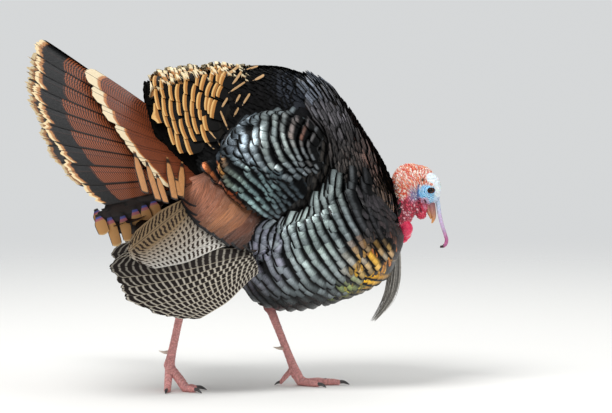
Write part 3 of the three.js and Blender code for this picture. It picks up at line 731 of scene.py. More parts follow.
chestFeather = plumage("dullChestFeather", {
    "length": 40, "width": 11, "barb": 1.6, "streak": 0.5, "metallic": 0.3, "roughness": 0.42,
    "ragged": 0.2, "bands": [(0.0, 0.35, 0.2, "#0e0c0d"), (0.95, 1, 0.04, "#0c0a0b")], "rim": "#0c0a0b",
    "rimFrom": 0.5, "rimSoft": 0.3})
for name, sweep in halves.items():
    for part, shape in breastParts.items():
        roots = rowsOver(wholeBreast, shape, sweep, field=neckDistance, seed=5, loose=0.07)
        piece = coat(f"{part}_feathers_{name}", wholeBreast, roots, shape, shape["hex"], shape["tint"], 11,
                     21, breastGloss, shape["flecks"], 0.13, bareOfTracts)
        dress(piece, chestFeather if part == "chest" else bodyFeather, "bronze_plumage", "breast")
for name, side in sides.items():
    roots = rowsBetween(breastCurves, columns, side, seed=6)
    tint = paint(roots["at"], "#7c868a", breastTint, 0.8, 3)
    dull = smooth((roots["share"] - 0.7) / 0.2) * smooth((roots["at"][:, 2] - 290) / 30)
    tint += 0.9 * dull[:, None] * (linear("#2c2a2d") - tint)
    tint = varied(tint, 0.16, np.random.default_rng(8))
    narrow = 1 - 0.4 * smooth((roots["along"] - 0.5) / 0.4) * roots["share"]
    piece = layFeathers("breast_columns_" + name, besideBody[name], roots,
                        {**columns, "width": columns["width"] * narrow}, tint, breastGloss(roots["at"]))
    dress(piece, bodyFeather, "bronze_plumage", "breast")
    roots = rowsBetween(chestCurves, strands, side, seed=7, square=False)
    tint = paint(roots["at"], strands["hex"], chestTint, 0.9, 4)
    chance = np.random.default_rng(9)
    tint[chance.random(len(tint)) < strands["darkShare"]] = linear(strands["darkHex"])
    tint = varied(tint, 0.3, chance)
    piece = layFeathers("chest_strands_" + name, besideBody[name], roots,
                        {**strands, "base": 5 - 8 * roots["along"]}, tint)
    dress(piece, chestFeather, "bronze_plumage", "breast")

# ---- belly and flanks
downFeather = plumage("darkBellyFeather", {
    "length": 46, "width": 30, "barb": 2.2, "streak": 0.5, "roughness": 0.7, "ragged": 0.2,
    "bands": [(0.86, 1, 0.1, "#3a2a20")]})
bellyShape = {"span": (0.4, 2.95), "rowGap": 19, "gap": 24, "length": 46, "width": 30, "base": -9,
              "lift": 9, "tip": 0.5, "tipPower": 2, "ragged": 0.03, "grid": (7, 7), "patch": 0.01}
bellySurface = ovalSurface(belly)
roots = rowsOver(bellySurface, bellyShape, wholeTurn, seed=9)
piece = coat("belly_feathers", bellySurface, roots, bellyShape, "#1d1916", (), 12, 23)
dress(piece, downFeather, "dark_down", "belly")

# ---- the raised cape
shoulderCurves = [
    [(-44, 552), (-54, 534), (-58, 516), (-60, 501), (-57, 487)],
    [(-17, 579), (-33, 552), (-37, 523), (-34, 498), (-17, 472)],
    [(22, 586), (1, 556), (-7, 516), (4, 472), (37, 444)],
    [(57, 590), (37, 556), (36, 519), (55, 480), (93, 444)],
    [(91, 575), (73, 541), (74, 512), (87, 485), (109, 453)],
    [(120, 545), (104, 519), (104, 501), (111, 483), (119, 465)],
]

capeParts = {
    "mantle": {"slot": "black_plumage", "span": (0.03, 0.42), "rowGap": 10, "gap": 10, "length": 36,
               "width": 22, "base": -9, "lift": 11, "tip": 0.14, "tipPower": 2, "roll": 1.5, "grid": (5, 8),
               "patch": 0.006, "uneven": 0.12},
    "back": {"slot": "black_plumage", "span": (0.42, 0.82), "rowGap": 10, "gap": 10, "length": 34,
             "width": 22, "base": -9, "lift": 9, "tip": 0.4, "tipPower": 2, "ragged": 0.05, "grid": (5, 7),
             "patch": 0.006, "uneven": 0.1},
    "rump": {"slot": "tan_tipped_plumage", "span": (0.82, 1.2), "rowGap": 13, "gap": 15, "length": 40,
             "width": 26, "base": -16, "lift": 9, "tip": 0.1, "tipPower": 2.5, "grid": (7, 8),
             "patch": 0.008, "uneven": 0.1},
}
capeLooks = {
    "mantle": {"length": 36, "width": 22, "barb": 1.6, "streak": 0.5, "metallic": 0.2, "roughness": 0.45,
               "bands": [(0.0, 0.6, 0.1, "#0a0a0b"), (0.86, 1, 0.04, "#070708")]},
    "back": {"length": 34, "width": 22, "barb": 1.8, "streak": 0.4, "roughness": 0.8, "ragged": 0.15,
             "shine": 0.15, "bands": [(0.8, 1, 0.1, "#040404")]},
    "rump": {"length": 42, "width": 27, "barb": 1.4, "streak": 0.3, "roughness": 0.9, "shine": 0.05,
             "bands": [(0.4, 1, 0.03, "#080706")]},
}
capeTints = {
    "mantle": ("#3a3330", [(66, 620, 56, 80, "#0d0c0d", 1.0), (140, 612, 30, 44, "#4c525c", 0.8),
                           (245, 505, 50, 50, "#6a4a40", 0.9), (290, 400, 40, 60, "#6a523e", 0.9),
                           (200, 480, 40, 60, "#3d3836", 0.6)]),
    "back": ("#0d0c0d", [(110, 640, 40, 40, "#3a3f48", 0.8)]),
    "rump": ("#0a0807", []),
}

rumpCurves = [
    [(-206, 636), (-206, 626), (-202, 600), (-198, 580), (-192, 560)],
    [(-181, 641), (-182, 626), (-178, 590), (-170, 552), (-158, 510)],
    [(-151, 651), (-153, 635), (-154, 597), (-148, 555), (-133, 510)],
    [(-122, 651), (-129, 635), (-133, 597), (-130, 558), (-119, 520)],
    [(-93, 654), (-103, 638), (-113, 603), (-113, 571), (-103, 536)],
    [(-67, 657), (-80, 645), (-93, 613), (-98, 584), (-97, 555)],
    [(-42, 663), (-55, 655), (-71, 626), (-80, 600), (-87, 574)],
]
mantleCurves = [
    [(120, 652), (110, 646), (99, 638), (88, 630)],
    [(148, 630), (132, 621), (116, 610), (100, 600)],
    [(170, 602), (150, 592), (130, 581), (112, 570)],
    [(191, 570), (168, 562), (146, 553), (124, 543)],
    [(214, 537), (188, 528), (162, 517), (137, 505)],
    [(240, 502), (214, 491), (188, 479), (164, 468)],
    [(258, 466), (241, 459), (224, 452), (206, 446)],
    [(274, 428), (262, 425), (250, 422), (238, 418)],
    [(284, 392), (276, 391), (268, 390), (260, 388)],
]
coveredByRows = [(breastCurves,), (shoulderCurves,), (rumpCurves, -22), (mantleCurves, -30)]
for part, shape in capeParts.items():
    roots = rowsOver(capeSurface, shape, (-0.25, np.pi + 0.25), np.pi / 2, seed=7, loose=0.12)
    piece = coat(part + "_feathers", capeSurface, roots, shape, *capeTints[part], 14, 21, shades=0.25,
                 where=lambda roots: np.all([notOnSide(roots, *area) for area in coveredByRows], axis=0))
    dress(piece, plumage(part + "Feather", capeLooks[part]), shape["slot"], part)


def offRidge(roots, steep=0.3):  # leaves out roots on the ridge, where the side turns over
    keep = np.abs(roots["normal"][:, 1]) > steep
    return {key: item[keep] for key, item in roots.items()}


# Tan rows stand upright on each side of the rump
rumpRow = {"rows": 10, "gap": 36, "length": 44, "hint": (-1, 0), "loose": 0.15, "width": 54, "base": 1,
           "lift": 11, "rise": 1.2, "tip": 0.06, "tipPower": 2.6, "camber": 1, "roll": 2, "grid": (7, 11),
           "patch": 0.01, "uneven": 0.05}
tanRow = plumage("tanRowFeather", {
    "length": 44, "width": 34, "barb": 1.4, "streak": 0.28, "roughness": 0.55, "ragged": 0.03,
    "bands": [(0.3, 1, 0.05, "#070605"), (0.81, 1, 0.02, "#9a6834"), (0.9, 1, 0.06, "#cda468")],
    "shine": 0.12})
blade = {"rows": 15, "gap": 6, "length": lambda share, along: 64 - 26 * share ** 2, "hint": (-0.6, 0.8),
         "loose": 0.2, "width": 11, "lift": 9, "rise": 1.4, "tip": 0.6, "tipPower": 1.8, "tipCurl": -2,
         "camber": 1.8, "grid": (5, 9), "patch": 0.008, "uneven": 0.12}
bladeFeather = plumage("longMantleFeather", {
    "length": 62, "width": 15, "barb": 2.4, "streak": 0.55, "metallic": 0.25, "roughness": 0.42,
    "bands": [(0.0, 0.45, 0.2, "#0c0b0c"), (0.95, 1, 0.02, "#0a0a0b")], "rim": "#0d0c0c", "rimFrom": 0.72})
bladeTint = [
    (110, 640, 50, 40, "#6c7684", 0.9), (160, 590, 50, 50, "#5c5a60", 0.8),
    (250, 505, 40, 50, "#6a4a40", 0.9), (290, 400, 40, 60, "#6a523e", 0.9),
    (190, 480, 40, 30, "#4a4440", 0.6),
]
for name, side in sides.items():
    surface = besideBody[name]
    roots = offRidge(rowsBetween(rumpCurves, rumpRow, side, seed=12))
    piece = layFeathers("rump_rows_" + name, surface, roots,
                        {**rumpRow, "width": rumpRow["width"] * (1 - 0.25 * roots["share"])},
                        flat("#14110e", len(roots["p"])))
    dress(piece, tanRow, "tan_tipped_plumage", "rump")
    roots = offRidge(rowsBetween(mantleCurves, blade, side, seed=14))
    tint = varied(paint(roots["at"], "#35302e", bladeTint, 0.3, 4), 0.45, np.random.default_rng(5))
    piece = layFeathers("mantle_blades_" + name, surface, roots,
                        {**blade, "base": 0.5 - 8 * roots["share"] ** 3}, tint)
    dress(piece, bladeFeather, "black_plumage", "mantle")

# Pale pointed tips that climb to the ridge from both sides and stand up over it
crest = {"from": -184, "to": 14, "gap": 11, "outward": [68, 54, 40, 27, 15], "width": 12, "length": 34,
         "base": -7, "lift": 25, "rise": 1.1, "tip": 1.2, "tipPower": 1.3, "camber": 1, "grid": (5, 9),
         "patch": 0.006, "uneven": 0.15}
crestFeather = plumage("paleCrestFeather", {
    "length": 34, "width": 12, "barb": 1.4, "streak": 0.3, "roughness": 0.6,
    "bands": [(0.3, 1, 0.05, "#b07a40"), (0.7, 1, 0.14, "#eadcba")], "rim": "#15110e", "rimFrom": 0.7})
x, y = (v.ravel() for v in np.meshgrid(np.arange(crest["from"], crest["to"], crest["gap"]),
                                       [side * far for side in (-1, 1) for far in crest["outward"]]))
chance = np.random.default_rng(15)
x, y = x + chance.normal(0, 4, len(x)), y + chance.normal(0, 2.5, len(y))
rising = chance.uniform(0.6, 1.1, len(x)) * (1 - 0.5 * smooth((x + 70) / 80))
sheet = {"at": lambda p, q: np.stack([p, q, ridgeHeight(p, q)], -1), "inside": np.array([0, 0, -5000]),
         "step": 0.5}
roots = {"p": x, "q": y, "way": np.stack([-0.3 + 0 * y, -np.sign(y), 0 * y], -1)}
piece = layFeathers("ridge_feathers", sheet, roots,
                    {**crest, "length": crest["length"] * rising, "lift": crest["lift"] * rising},
                    flat("#15110e", len(x)))
dress(piece, crestFeather, "tan_tipped_plumage", "rump")

# A few loose tan-edged feathers over the black back: each from root to tip
looseFeathers = [
    (-50, 620, -18, 647), (-36, 600, -28, 618), (-22, 596, -7, 622), (-52, 548, -67, 586),
    (-70, 521, -91, 556), (-84, 509, -105, 535), (-44, 635, -24, 665), (2, 645, 25, 655),
    (-61, 645, -30, 680), (-66, 590, -52, 612), (-14, 664, 8, 684), (-40, 575, -30, 592),
]
looseFeather = plumage("looseTanFeather", {
    "length": 34, "width": 7, "barb": 1.4, "streak": 0.3, "roughness": 0.6,
    "bands": [(0.0, 0.12, 0.1, "#15110e")], "rim": "#15110e", "rimFrom": 0.75})


def drawn(root, tip):  # feathers drawn in the side view, from x, z of the root to x, z of the tip
    run = np.array(tip, float) - root
    way = unit(np.stack([run[:, 0], 0 * run[:, 0], run[:, 1]], -1))
    return {"p": root[:, 0], "q": root[:, 1], "way": way, "length": np.hypot(*run.T)}


def single(name, surface, marks, shape, hexColour):  # feathers of one colour from a list of such marks
    marks = np.array(marks, float)
    return layFeathers(name, surface, drawn(marks[:, :2], marks[:, 2:]), shape, flat(hexColour, len(marks)))


loose = {"width": 5, "base": 6, "lift": 4, "tip": 0.8, "camber": 0.8, "grid": (5, 9), "patch": 0.02}
for name, side in sides.items():
    surface = besideBody[name]
    piece = single("loose_back_feathers_" + name, surface, looseFeathers, loose, "#b08a5c")
    dress(piece, looseFeather, "tan_tipped_plumage", "back")
print("trunk feathers done")

# ---- shoulders: broad feathers in nested arcs that meet at the wing's bend
shoulderTint = [
    (-45, 510, 30, 60, "#454e58", 0.9), (0, 540, 36, 60, "#7c8a94", 0.9),
    (40, 520, 40, 60, "#c8d6d1", 0.9), (85, 545, 26, 26, "#a8603c", 0.8),
    (105, 500, 24, 50, "#4a4038", 0.8),
]
shoulderRow = {"rows": 10, "length": lambda share, along: 62 - 34 * share, "gap": 16, "hint": (-1, 0.2),
               "loose": 0.1, "width": 40, "base": 3, "lift": 13, "rise": 1.3, "tip": 0.08, "tipPower": 2.6,
               "tipCurl": -3, "camber": 1.2, "roll": 1.5, "grid": (9, 12), "patch": 0.02, "uneven": 0.05}
shoulderShape = {"span": (0.25, 2.9), "rowGap": 13, "gap": 18, "length": 36, "width": 24, "base": -12,
                 "lift": 9, "tip": 0.2, "grid": (5, 7), "patch": 0.008}
for name, side in sides.items():
    surface = ovalSurface(shoulder, side)
    roots = rowsOver(surface, shoulderShape, halves[name], 0 if side > 0 else np.pi, seed=11)
    piece = coat("shoulder_underlayer_" + name, surface, roots, shoulderShape, "#211f1e",
                 [(150, 480, 60, 80, "#46413c", 0.7)], 14, 31,
                 where=lambda roots: notOnSide(roots, shoulderCurves))
    dress(piece, bpy.data.materials["mantleFeather"], "black_plumage", "scapulars_" + name)
    roots = rowsBetween(shoulderCurves, shoulderRow, side, seed=9)
    tint = varied(0.8 * paint(roots["at"], "#727c82", shoulderTint, 0.6, 5), 0.2, np.random.default_rng(3))
    narrow = (1 - 0.5 * roots["share"]) * (1 - 0.4 * smooth((roots["along"] - 0.6) / 0.4))
    piece = layFeathers("shoulder_feathers_" + name, besideBody[name], roots,
                        {**shoulderRow, "width": shoulderRow["width"] * narrow}, tint)
    dress(piece, bodyFeather, "bronze_plumage", "scapulars_" + name)

# ---- wing coverts, on the side where shoulder, breast and wing meet
middleCurves = [
    [(37, 458), (55, 444), (73, 429), (84, 418), (95, 411)],
    [(4, 472), (26, 454), (46, 433), (60, 415), (73, 400)],
    [(-21, 487), (4, 462), (26, 436), (44, 411), (59, 393)],
    [(-43, 494), (-17, 469), (8, 440), (33, 411), (51, 386)],
    [(-72, 487), (-46, 462), (-17, 433), (15, 400), (44, 378)],
    [(-84, 478), (-61, 451), (-35, 425), (-3, 397), (33, 371)],
]
marginCurves = [
    [(-91, 485), (-72, 454), (-46, 429), (-21, 411), (1, 393)],
    [(-106, 472), (-93, 447), (-68, 427), (-43, 411), (-17, 393)],
]
marginTint = [(-90, 470, 18, 16, "#b0602e", 0.95), (-48, 428, 16, 14, "#b4562e", 0.9)]
middleTint = [(-78, 468, 20, 20, "#b98030", 0.9), (-40, 440, 26, 26, "#8b9a8a", 0.8),
              (0, 420, 40, 40, "#8eabab", 0.8), (60, 390, 30, 40, "#3c4448", 0.8)]
covert = {"hint": (-1, -1), "loose": 0.1, "width": 27, "lift": 9, "rise": 1.3, "tip": 0.1, "tipPower": 2.6,
          "tipCurl": -2, "camber": 1.2, "grid": (7, 10), "patch": 0.02, "uneven": 0.05}
covertParts = {
    "margin": {"curves": marginCurves[::-1], "rows": 2, "gap": 9, "reach": 40, "base": 4,
               "tint": ("#54301f", marginTint, 0.5)},
    "middle": {"curves": middleCurves[::-1], "rows": 7, "gap": 10, "reach": 46, "base": 6,
               "tint": ("#465056", middleTint, 0.4)},
}
greater = {"roots": [(-100, 458), (-70, 436), (-38, 418), (-4, 394), (22, 370), (28, 350)],
           "tips": [(-143, 398), (-137, 372), (-122, 350), (-92, 330), (-54, 312), (-10, 302)],
           "feathers": 9, "first": 0.4, "width": 50, "lift": 2, "tip": 0.12, "camber": 1, "roll": 0,
           "grid": (9, 20), "patch": 0.07, "uneven": 0.01}
greaterTint = [(-125, 395, 36, 36, "#7c4c36", 0.9), (-60, 366, 44, 22, "#8e5c3a", 0.8),
               (-50, 326, 60, 20, "#46261a", 0.8), (0, 330, 34, 50, "#2e1a0c", 0.95)]
# The lighter band along the middle of each copper covert is a painted highlight.
copperFeather = plumage("copperGreaterCovert", {
    "length": 90, "width": 50, "barb": 1.9, "sweep": 2.6, "streak": 1.0, "metallic": 0.4, "roughness": 0.36,
    "ragged": 0.02, "bands": [(0.93, 1, 0.02, "#0a0a0c")], "paintedHighlight": (0.5, 0.5, 0.6), "bump": 0.8})


def fanOf(fan):  # each feather's place in its fan from 0 to 1, and its root on the line of roots
    t = (np.arange(fan["feathers"]) + fan["first"]) / fan["feathers"]
    return t, drawn(through(fan["roots"], t), through(fan["tips"], t))


for name, side in sides.items():
    t, roots = fanOf(greater)
    middle = np.stack([roots["p"], 0 * t, roots["q"]], -1) + 0.7 * roots["length"][:, None] * roots["way"]
    piece = layFeathers("greater_coverts_" + name, uprightSheet(side, wingDepth), roots,
                        {**greater, "base": 20 - 8 * t}, paint(middle, "#54301e", greaterTint))
    dress(piece, copperFeather, "copper_plumage", "wing_coverts_" + name)
    for part, rows in covertParts.items():
        shape = {**covert, **rows, "length": lambda share, along: rows["reach"] * (1 - 0.4 * along)}
        roots = rowsBetween(rows["curves"], shape, side, seed=8)
        tint = varied(paint(roots["at"], *rows["tint"], 5), 0.2, np.random.default_rng(4))
        shape["width"] = covert["width"] * (1 - 0.5 * roots["along"])
        piece = layFeathers(f"{part}_coverts_{name}", besideBody[name], roots, shape, tint)
        dress(piece, bodyFeather, "copper_plumage", "wing_coverts_" + name)
print("coverts done")

# ---- flight feathers: each fan has a few places of roots and tips, from its uppermost feather down
quill = {"first": 0.3, "width": 50, "lift": 0, "tip": 0.5, "tipPower": 2, "shoulder": 0.6, "camber": 0.7,
         "roll": 0, "grid": (13, 30), "patch": 0.07, "shaft": 0.7, "uneven": 0.01, "ragged": 0.004,
         "upright": True}
primaries = {
    "roots": [(-12, 300), (-4, 292), (2, 282), (4, 272), (4, 262)], "feathers": 10, "innermost": 3,
    "tips": [(-286, 268), (-282, 230), (-264, 202), (-238, 186), (-206, 174), (-172, 165), (-136, 164)],
}
secondaries = {
    "roots": [(-108, 420), (-98, 402), (-84, 376), (-70, 344), (-58, 308)], "feathers": 8,
    "innermost": 14,
    "tips": [(-250, 302), (-258, 294), (-256, 286), (-246, 282), (-226, 278)],
}
quillLooks = {"primary": plumage("barredPrimary", {
    "length": 270, "width": 46, "barb": 1.8, "streak": 0.2, "roughness": 0.5, "ragged": 0.01,
    "bars": {"gap": 13.5, "share": 0.71, "hex": "#1c1411", "wobble": 4.0, "waves": 4.0, "soft": 0.09},
    "shaft": "#171210", "shaftWidth": 0.05, "rim": "#a89e8c", "rimFrom": 0.92, "bump": 0.25,
    "shine": 0.2}), "secondary": plumage("speckledSecondary", {
    "length": 210, "width": 46, "barb": 1.8, "streak": 0.22, "roughness": 0.55, "ragged": 0.01,
    "bars": {"gap": 12.0, "share": 0.5, "hex": "#33261d", "wobble": 9.0, "waves": 6.0, "spots": 0.2},
    "shaft": "#5a4c40", "shaftWidth": 0.04, "bump": 0.25, "shine": 0.25})}
for name, side in sides.items():
    for part, group, fan in (("primary", "primaries", primaries),
                             ("secondary", "secondaries", secondaries)):
        t, roots = fanOf({**quill, **fan})
        if part == "primary":
            tint = flat("#b0a99c", len(t)) * (0.55 + 0.45 * smooth(t / 0.25))[:, None]
        else:
            tint = np.linspace(linear("#9a8262"), linear("#c8c4bc"), len(t))
        piece = layFeathers(f"{part}_quills_{name}", uprightSheet(side, wingDepth), roots,
                            {**quill, "base": fan["innermost"] - 9 * t}, tint)
        dress(piece, quillLooks[part], "barred_quills", f"wing_{group}_{name}")
print("wings done")

# ---- tail
rectrix = plumage("barredTailFeather", {
    "length": 378, "width": 74, "barb": 1.6, "streak": 0.16, "roughness": 0.5, "ragged": 0.02,
    "bars": {"gap": 6.2, "share": 0.5, "hex": "#190a06", "wobble": 5.0, "waves": 5.0, "soft": 0.1},
    "bands": [(0.81, 0.945, 0.02, "#08090b"), (0.952, 1, 0.012, "#a87444"), (0.972, 1, 0.012, "#ddc69a")],
    "shine": 0.3, "shaft": "#2a1510", "shaftWidth": 0.03, "rim": "#070404", "rimFrom": 0.82, "bump": 0.25})
barredCovert = plumage("barredTailCovert", {
    "length": 250, "width": 66, "barb": 1.5, "streak": 0.2, "roughness": 0.48, "ragged": 0.02,
    "bars": {"gap": 4.6, "share": 0.42, "hex": "#2a1008", "wobble": 5.0, "waves": 6.0, "soft": 0.12},
    "bands": [(0.87, 1, 0.01, "#b06e38"), (0.89, 1, 0.02, "#dccaa6")],
    "shaft": "#2a1510", "shaftWidth": 0.03, "rim": "#1a0e0a", "rimFrom": 0.94, "bump": 0.25})
tailQuill = {"start": 118, "width": 82, "lift": 0, "tip": 0.22, "tipPower": 2.4, "shoulder": 1.1,
             "root": 0.25, "taper": 0.03, "camber": 0.7, "roll": 0, "grid": (17, 30), "patch": 0.09,
             "shaft": 0.8, "uneven": 0.012, "ragged": 0.008, "thick": 0.7}
tailCovert = {"start": 95, "spread": 60, "reach": (0.77, 0.71, 0.64, 0.58, 0.54), "width": 72, "lift": 0,
              "tip": 0.2, "tipPower": 2.4, "shoulder": 1.0, "root": 0.3, "camber": 0.7, "roll": 0,
              "grid": (13, 22), "patch": 0.08, "shaft": 0.5, "uneven": 0.02, "ragged": 0.006}


def tailRoots(surface, degrees, radius):  # roots on a circle of the tail's fan, pointing outwards
    p, q = np.cos(np.radians(degrees)), np.sin(np.radians(degrees))
    return {"p": radius * p, "q": radius * q, "way": surface["at"](p, q) - np.array(tail["root"])}


for name, side in sides.items():
    surface = tailSurface(name)
    i = np.arange(9)
    roots = tailRoots(surface, tail["spread"] * (i + 0.5) / 9, tailQuill["start"])
    piece = layFeathers("tail_quills_" + name, surface, roots,
                        {**tailQuill, "length": tail["length"] - tailQuill["start"], "base": 8 - i * 1.1},
                        flat("#8c4a2a", 9) * (1 + 0.12 * np.sin(3 * i))[:, None])
    dress(piece, rectrix, "chestnut_quills", "tail_" + name)
    i = np.arange(7)
    share = (i + 0.5) / 7
    roots = tailRoots(surface, tailCovert["spread"] * share, tailCovert["start"])
    reach = through([[r] for r in tailCovert["reach"]], share)[:, 0] * tail["length"]
    piece = layFeathers("tail_coverts_" + name, surface, roots,
                        {**tailCovert, "length": reach - tailCovert["start"], "base": 18 - i * 1.1},
                        flat("#843f1e", 7))
    dress(piece, barredCovert, "chestnut_quills", "tail_coverts_" + name)

# Second tier over the tail coverts: long tan tips, each from root to tip along the fan and out to its side
tailStrips = np.array([
    (222, 206, 160, 343), (192, 210, 128, 341), (160, 233, 116, 323), (156, 145, 105, 284),
    (124, 125, 93, 268), (120, 200, 93, 273),
], float)
stripFeather = plumage("tanStripFeather", {
    "length": 70, "width": 17, "barb": 1.4, "streak": 0.25, "roughness": 0.5, "ragged": 0.05,
    "bands": [(0.0, 0.12, 0.06, "#1a0f0a"), (0.94, 1, 0.03, "#1a0f0a")], "rim": "#1a0f0a", "rimFrom": 0.75})
tailStrip = {"width": 17, "base": 19, "lift": 3, "tip": 0.3, "camber": 1.2, "grid": (7, 12), "patch": 0.03}
for name, side in sides.items():
    surface = tailSurface(name)
    roots = drawn(tailStrips[:, :2], tailStrips[:, 2:])
    roots["way"] = surface["at"](*(tailStrips[:, 2:] - tailStrips[:, :2]).T) - np.array(tail["root"])
    piece = layFeathers("tail_side_coverts_" + name, surface, roots, tailStrip,
                        flat("#a87444", len(tailStrips)))
    dress(piece, stripFeather, "chestnut_quills", "tail_coverts_" + name)

# ---- under the tail
underCovert = plumage("tanTippedUnderTail", {
    "length": 160, "width": 40, "barb": 1.6, "streak": 0.35, "roughness": 0.5, "ragged": 0.03,
    "bands": [(0.8, 1, 0.05, "#2c241e")], "shaft": "#241a16", "shaftWidth": 0.04, "shine": 0.2})
underShape = {"width": 38, "tip": 0.25, "lift": 2, "shoulder": 0.8, "camber": 3, "grid": (11, 16),
              "patch": 0.05, "shaft": 0.5, "uneven": 0.02}
count = 13
angle = np.radians(np.linspace(-undertail["spread"], undertail["spread"], count))
p, q = np.cos(angle), np.sin(angle)
roots = {"p": 40 * p, "q": 40 * q, "way": undertailAt(100 * p, 100 * q) - undertailAt(50 * p, 50 * q)}
other = np.arange(count) % 2
piece = layFeathers("undertail_feathers", undertailSurface, roots,
                    {**underShape, "length": 156 - 12 * other, "base": -16 - 5 * other},
                    flat("#1c1715", count))
dress(piece, underCovert, "tan_tipped_plumage", "undertail")
tuft = {"at": (-216, 380), "out": 100, "spread": 0.2, "lean": 0.15}
petals = [
    (-322, 372, -306, 334), (-300, 374, -280, 314), (-272, 376, -254, 318), (-247, 390, -231, 334),
    (-227, 398, -213, 347), (-208, 405, -197, 366),
]
petalFeather = plumage("hangingUnderTail", {
    "length": 62, "width": 24, "barb": 1.4, "streak": 0.3, "roughness": 0.5, "ragged": 0.03,
    "bands": [(0.1, 0.3, 0.05, "#4c54a0"), (0.18, 0.32, 0.06, "#b0646c"), (0.3, 1, 0.03, "#c08c50"),
              (0.93, 1, 0.04, "#d4b07c")], "rim": "#15110f", "rimFrom": 0.86})


def tuftDepth(x, z):  # the tuft's sides spread towards the tail and downwards
    return tuft["out"] + tuft["spread"] * (x - tuft["at"][0]) + tuft["lean"] * (tuft["at"][1] - z)


plumes = [
    (-200, 398, -312, 376), (-192, 404, -292, 386), (-188, 410, -268, 398), (-182, 414, -244, 410),
    (-196, 392, -304, 366), (-190, 386, -276, 372),
]
plumeFeather = plumage("darkUnderTailPlume", {
    "length": 110, "width": 22, "barb": 1.8, "streak": 0.6, "roughness": 0.6, "ragged": 0.1,
    "bands": [(0.9, 1, 0.06, "#0c0a09")], "rim": "#0a0807", "rimFrom": 0.6, "rimSoft": 0.3})
plumeShape = {"width": 24, "lift": 1, "tip": 0.5, "shoulder": 0.4, "camber": 2, "ragged": 0.02,
              "grid": (9, 14), "patch": 0.04}
petalShape = {"width": 25, "lift": 2, "tip": 0.2, "shoulder": 0.5, "camber": 2, "grid": (9, 12),
              "patch": 0.04}
for name, side in sides.items():
    surface = uprightSheet(side, tuftDepth)
    shape = {**plumeShape, "base": -4 - np.arange(len(plumes)) % 3}
    piece = single("undertail_plumes_" + name, surface, plumes, shape, "#2a211d")
    dress(piece, plumeFeather, "tan_tipped_plumage", "undertail")
    shape = {**petalShape, "base": 2 - 2 * (np.arange(len(petals)) % 2)}
    piece = single("undertail_petals_" + name, surface, petals, shape, "#1c1715")
    dress(piece, petalFeather, "tan_tipped_plumage", "undertail")
print("tail done")

# ---- bare skin: forms as distances, negative inside, that run softly into each other
def ovalDistance(form, points):  # how far from the centre, times 1 - 1 / the superellipsoid's own measure
    turn = np.radians(form["pitch"])
    x, y, z = np.moveaxis(points - np.array(form["at"]), -1, 0)
    ahead = np.abs(x * np.cos(turn) + z * np.sin(turn)) / form["half"][0]
    high = np.abs(z * np.cos(turn) - x * np.sin(turn)) / form["half"][2]
    around, along = form["around"], form["along"]
    girth = ((np.abs(y) / form["half"][1]) ** around + high ** around) ** (1 / around)
    reach = np.maximum((ahead ** along + girth ** along) ** (1 / along), 1e-3)
    return np.sqrt(x * x + y * y + z * z) * (1 - 1 / reach)


# Distance from the nearest of a tube's straight pieces, less its radius there. Rows are x, y, z, radius, and
# wide is how much wider than deep the tube is from side to side.
def tubeDistance(rows, points, wide=1.0, steps=4):
    stations = through(rows, np.linspace(0, 1, steps * (len(rows) - 1) + 1))
    stretch = np.array([1, 1 / wide, 1])
    nearest = np.full(points.shape[:-1], 1e3)
    for start, end in zip(stations[:-1], stations[1:]):
        run = (end - start)[:3] * stretch
        away = (points - start[:3]) * stretch
        share = np.clip(away @ run / (run @ run), 0, 1)
        far = np.linalg.norm(away - share[..., None] * run, axis=-1)
        nearest = np.minimum(nearest, far - start[3] - share * (end[3] - start[3]))
    return nearest


def blend(softness, *distances):  # minus softness times the log of the sum of exp(-distance / softness)
    return -softness * np.log(sum(np.exp(-distance / softness) for distance in distances))


# A closed mesh of the place where a field is 0: one point in each cell of a grid that the surface crosses,
# moved onto the surface, and a quad round each crossed edge of the grid. The field is worked out coarsely
# first, and finely only near the surface.
def netMesh(field, low, high, step):
    coarse = 4
    counts = np.ceil((np.array(high) - low) / (coarse * step)).astype(int) * coarse
    middles = [(low[k] + step * np.arange(counts[k])).reshape(-1, coarse).mean(1) for k in range(3)]
    values = field(np.stack(np.meshgrid(*middles, indexing="ij"), -1))
    values = values.repeat(coarse, 0).repeat(coarse, 1).repeat(coarse, 2)
    close = np.argwhere(np.abs(values) < 1.8 * coarse * step)
    values[tuple(close.T)] = field(np.array(low) + step * close)
    total, count = np.zeros((values.size, 3), np.float32), np.zeros(values.size, np.int32)
    quads = []
    for axis in range(3):
        ahead = np.roll(values, -1, axis)
        crossed = np.argwhere((values < 0) != (ahead < 0))
        crossed = crossed[(crossed > 0).all(1) & (crossed < counts - 2).all(1)]
        here, there = values[tuple(crossed.T)], ahead[tuple(crossed.T)]
        place = crossed.astype(float)
        place[:, axis] += here / (here - there)
        one, two = (np.eye(3, dtype=int)[(axis + k) % 3] for k in (1, 2))
        around = [np.ravel_multi_index((crossed - back).T, counts)
                  for back in (0 * one, one, one + two, two)]
        for cell in around:
            np.add.at(total, cell, place)
            np.add.at(count, cell, 1)
        quad = np.stack(around, -1)
        quads.append(np.where((here < 0)[:, None], quad, quad[:, ::-1]))
    used = np.flatnonzero(count)
    number = np.zeros(values.size, int)
    number[used] = np.arange(len(used))
    points = np.array(low) + step * (total[used] / count[used, None])
    for _ in range(3):
        points = points - np.clip(field(points), -step, step)[:, None] * slopeOf(field, points)
    return points, number[np.concatenate(quads)]


def slopeOf(field, points):  # the direction in which a field grows fastest, from differences
    nudge = 0.3 * np.eye(3)
    return unit(np.stack([field(points + n) - field(points - n) for n in nudge], -1))


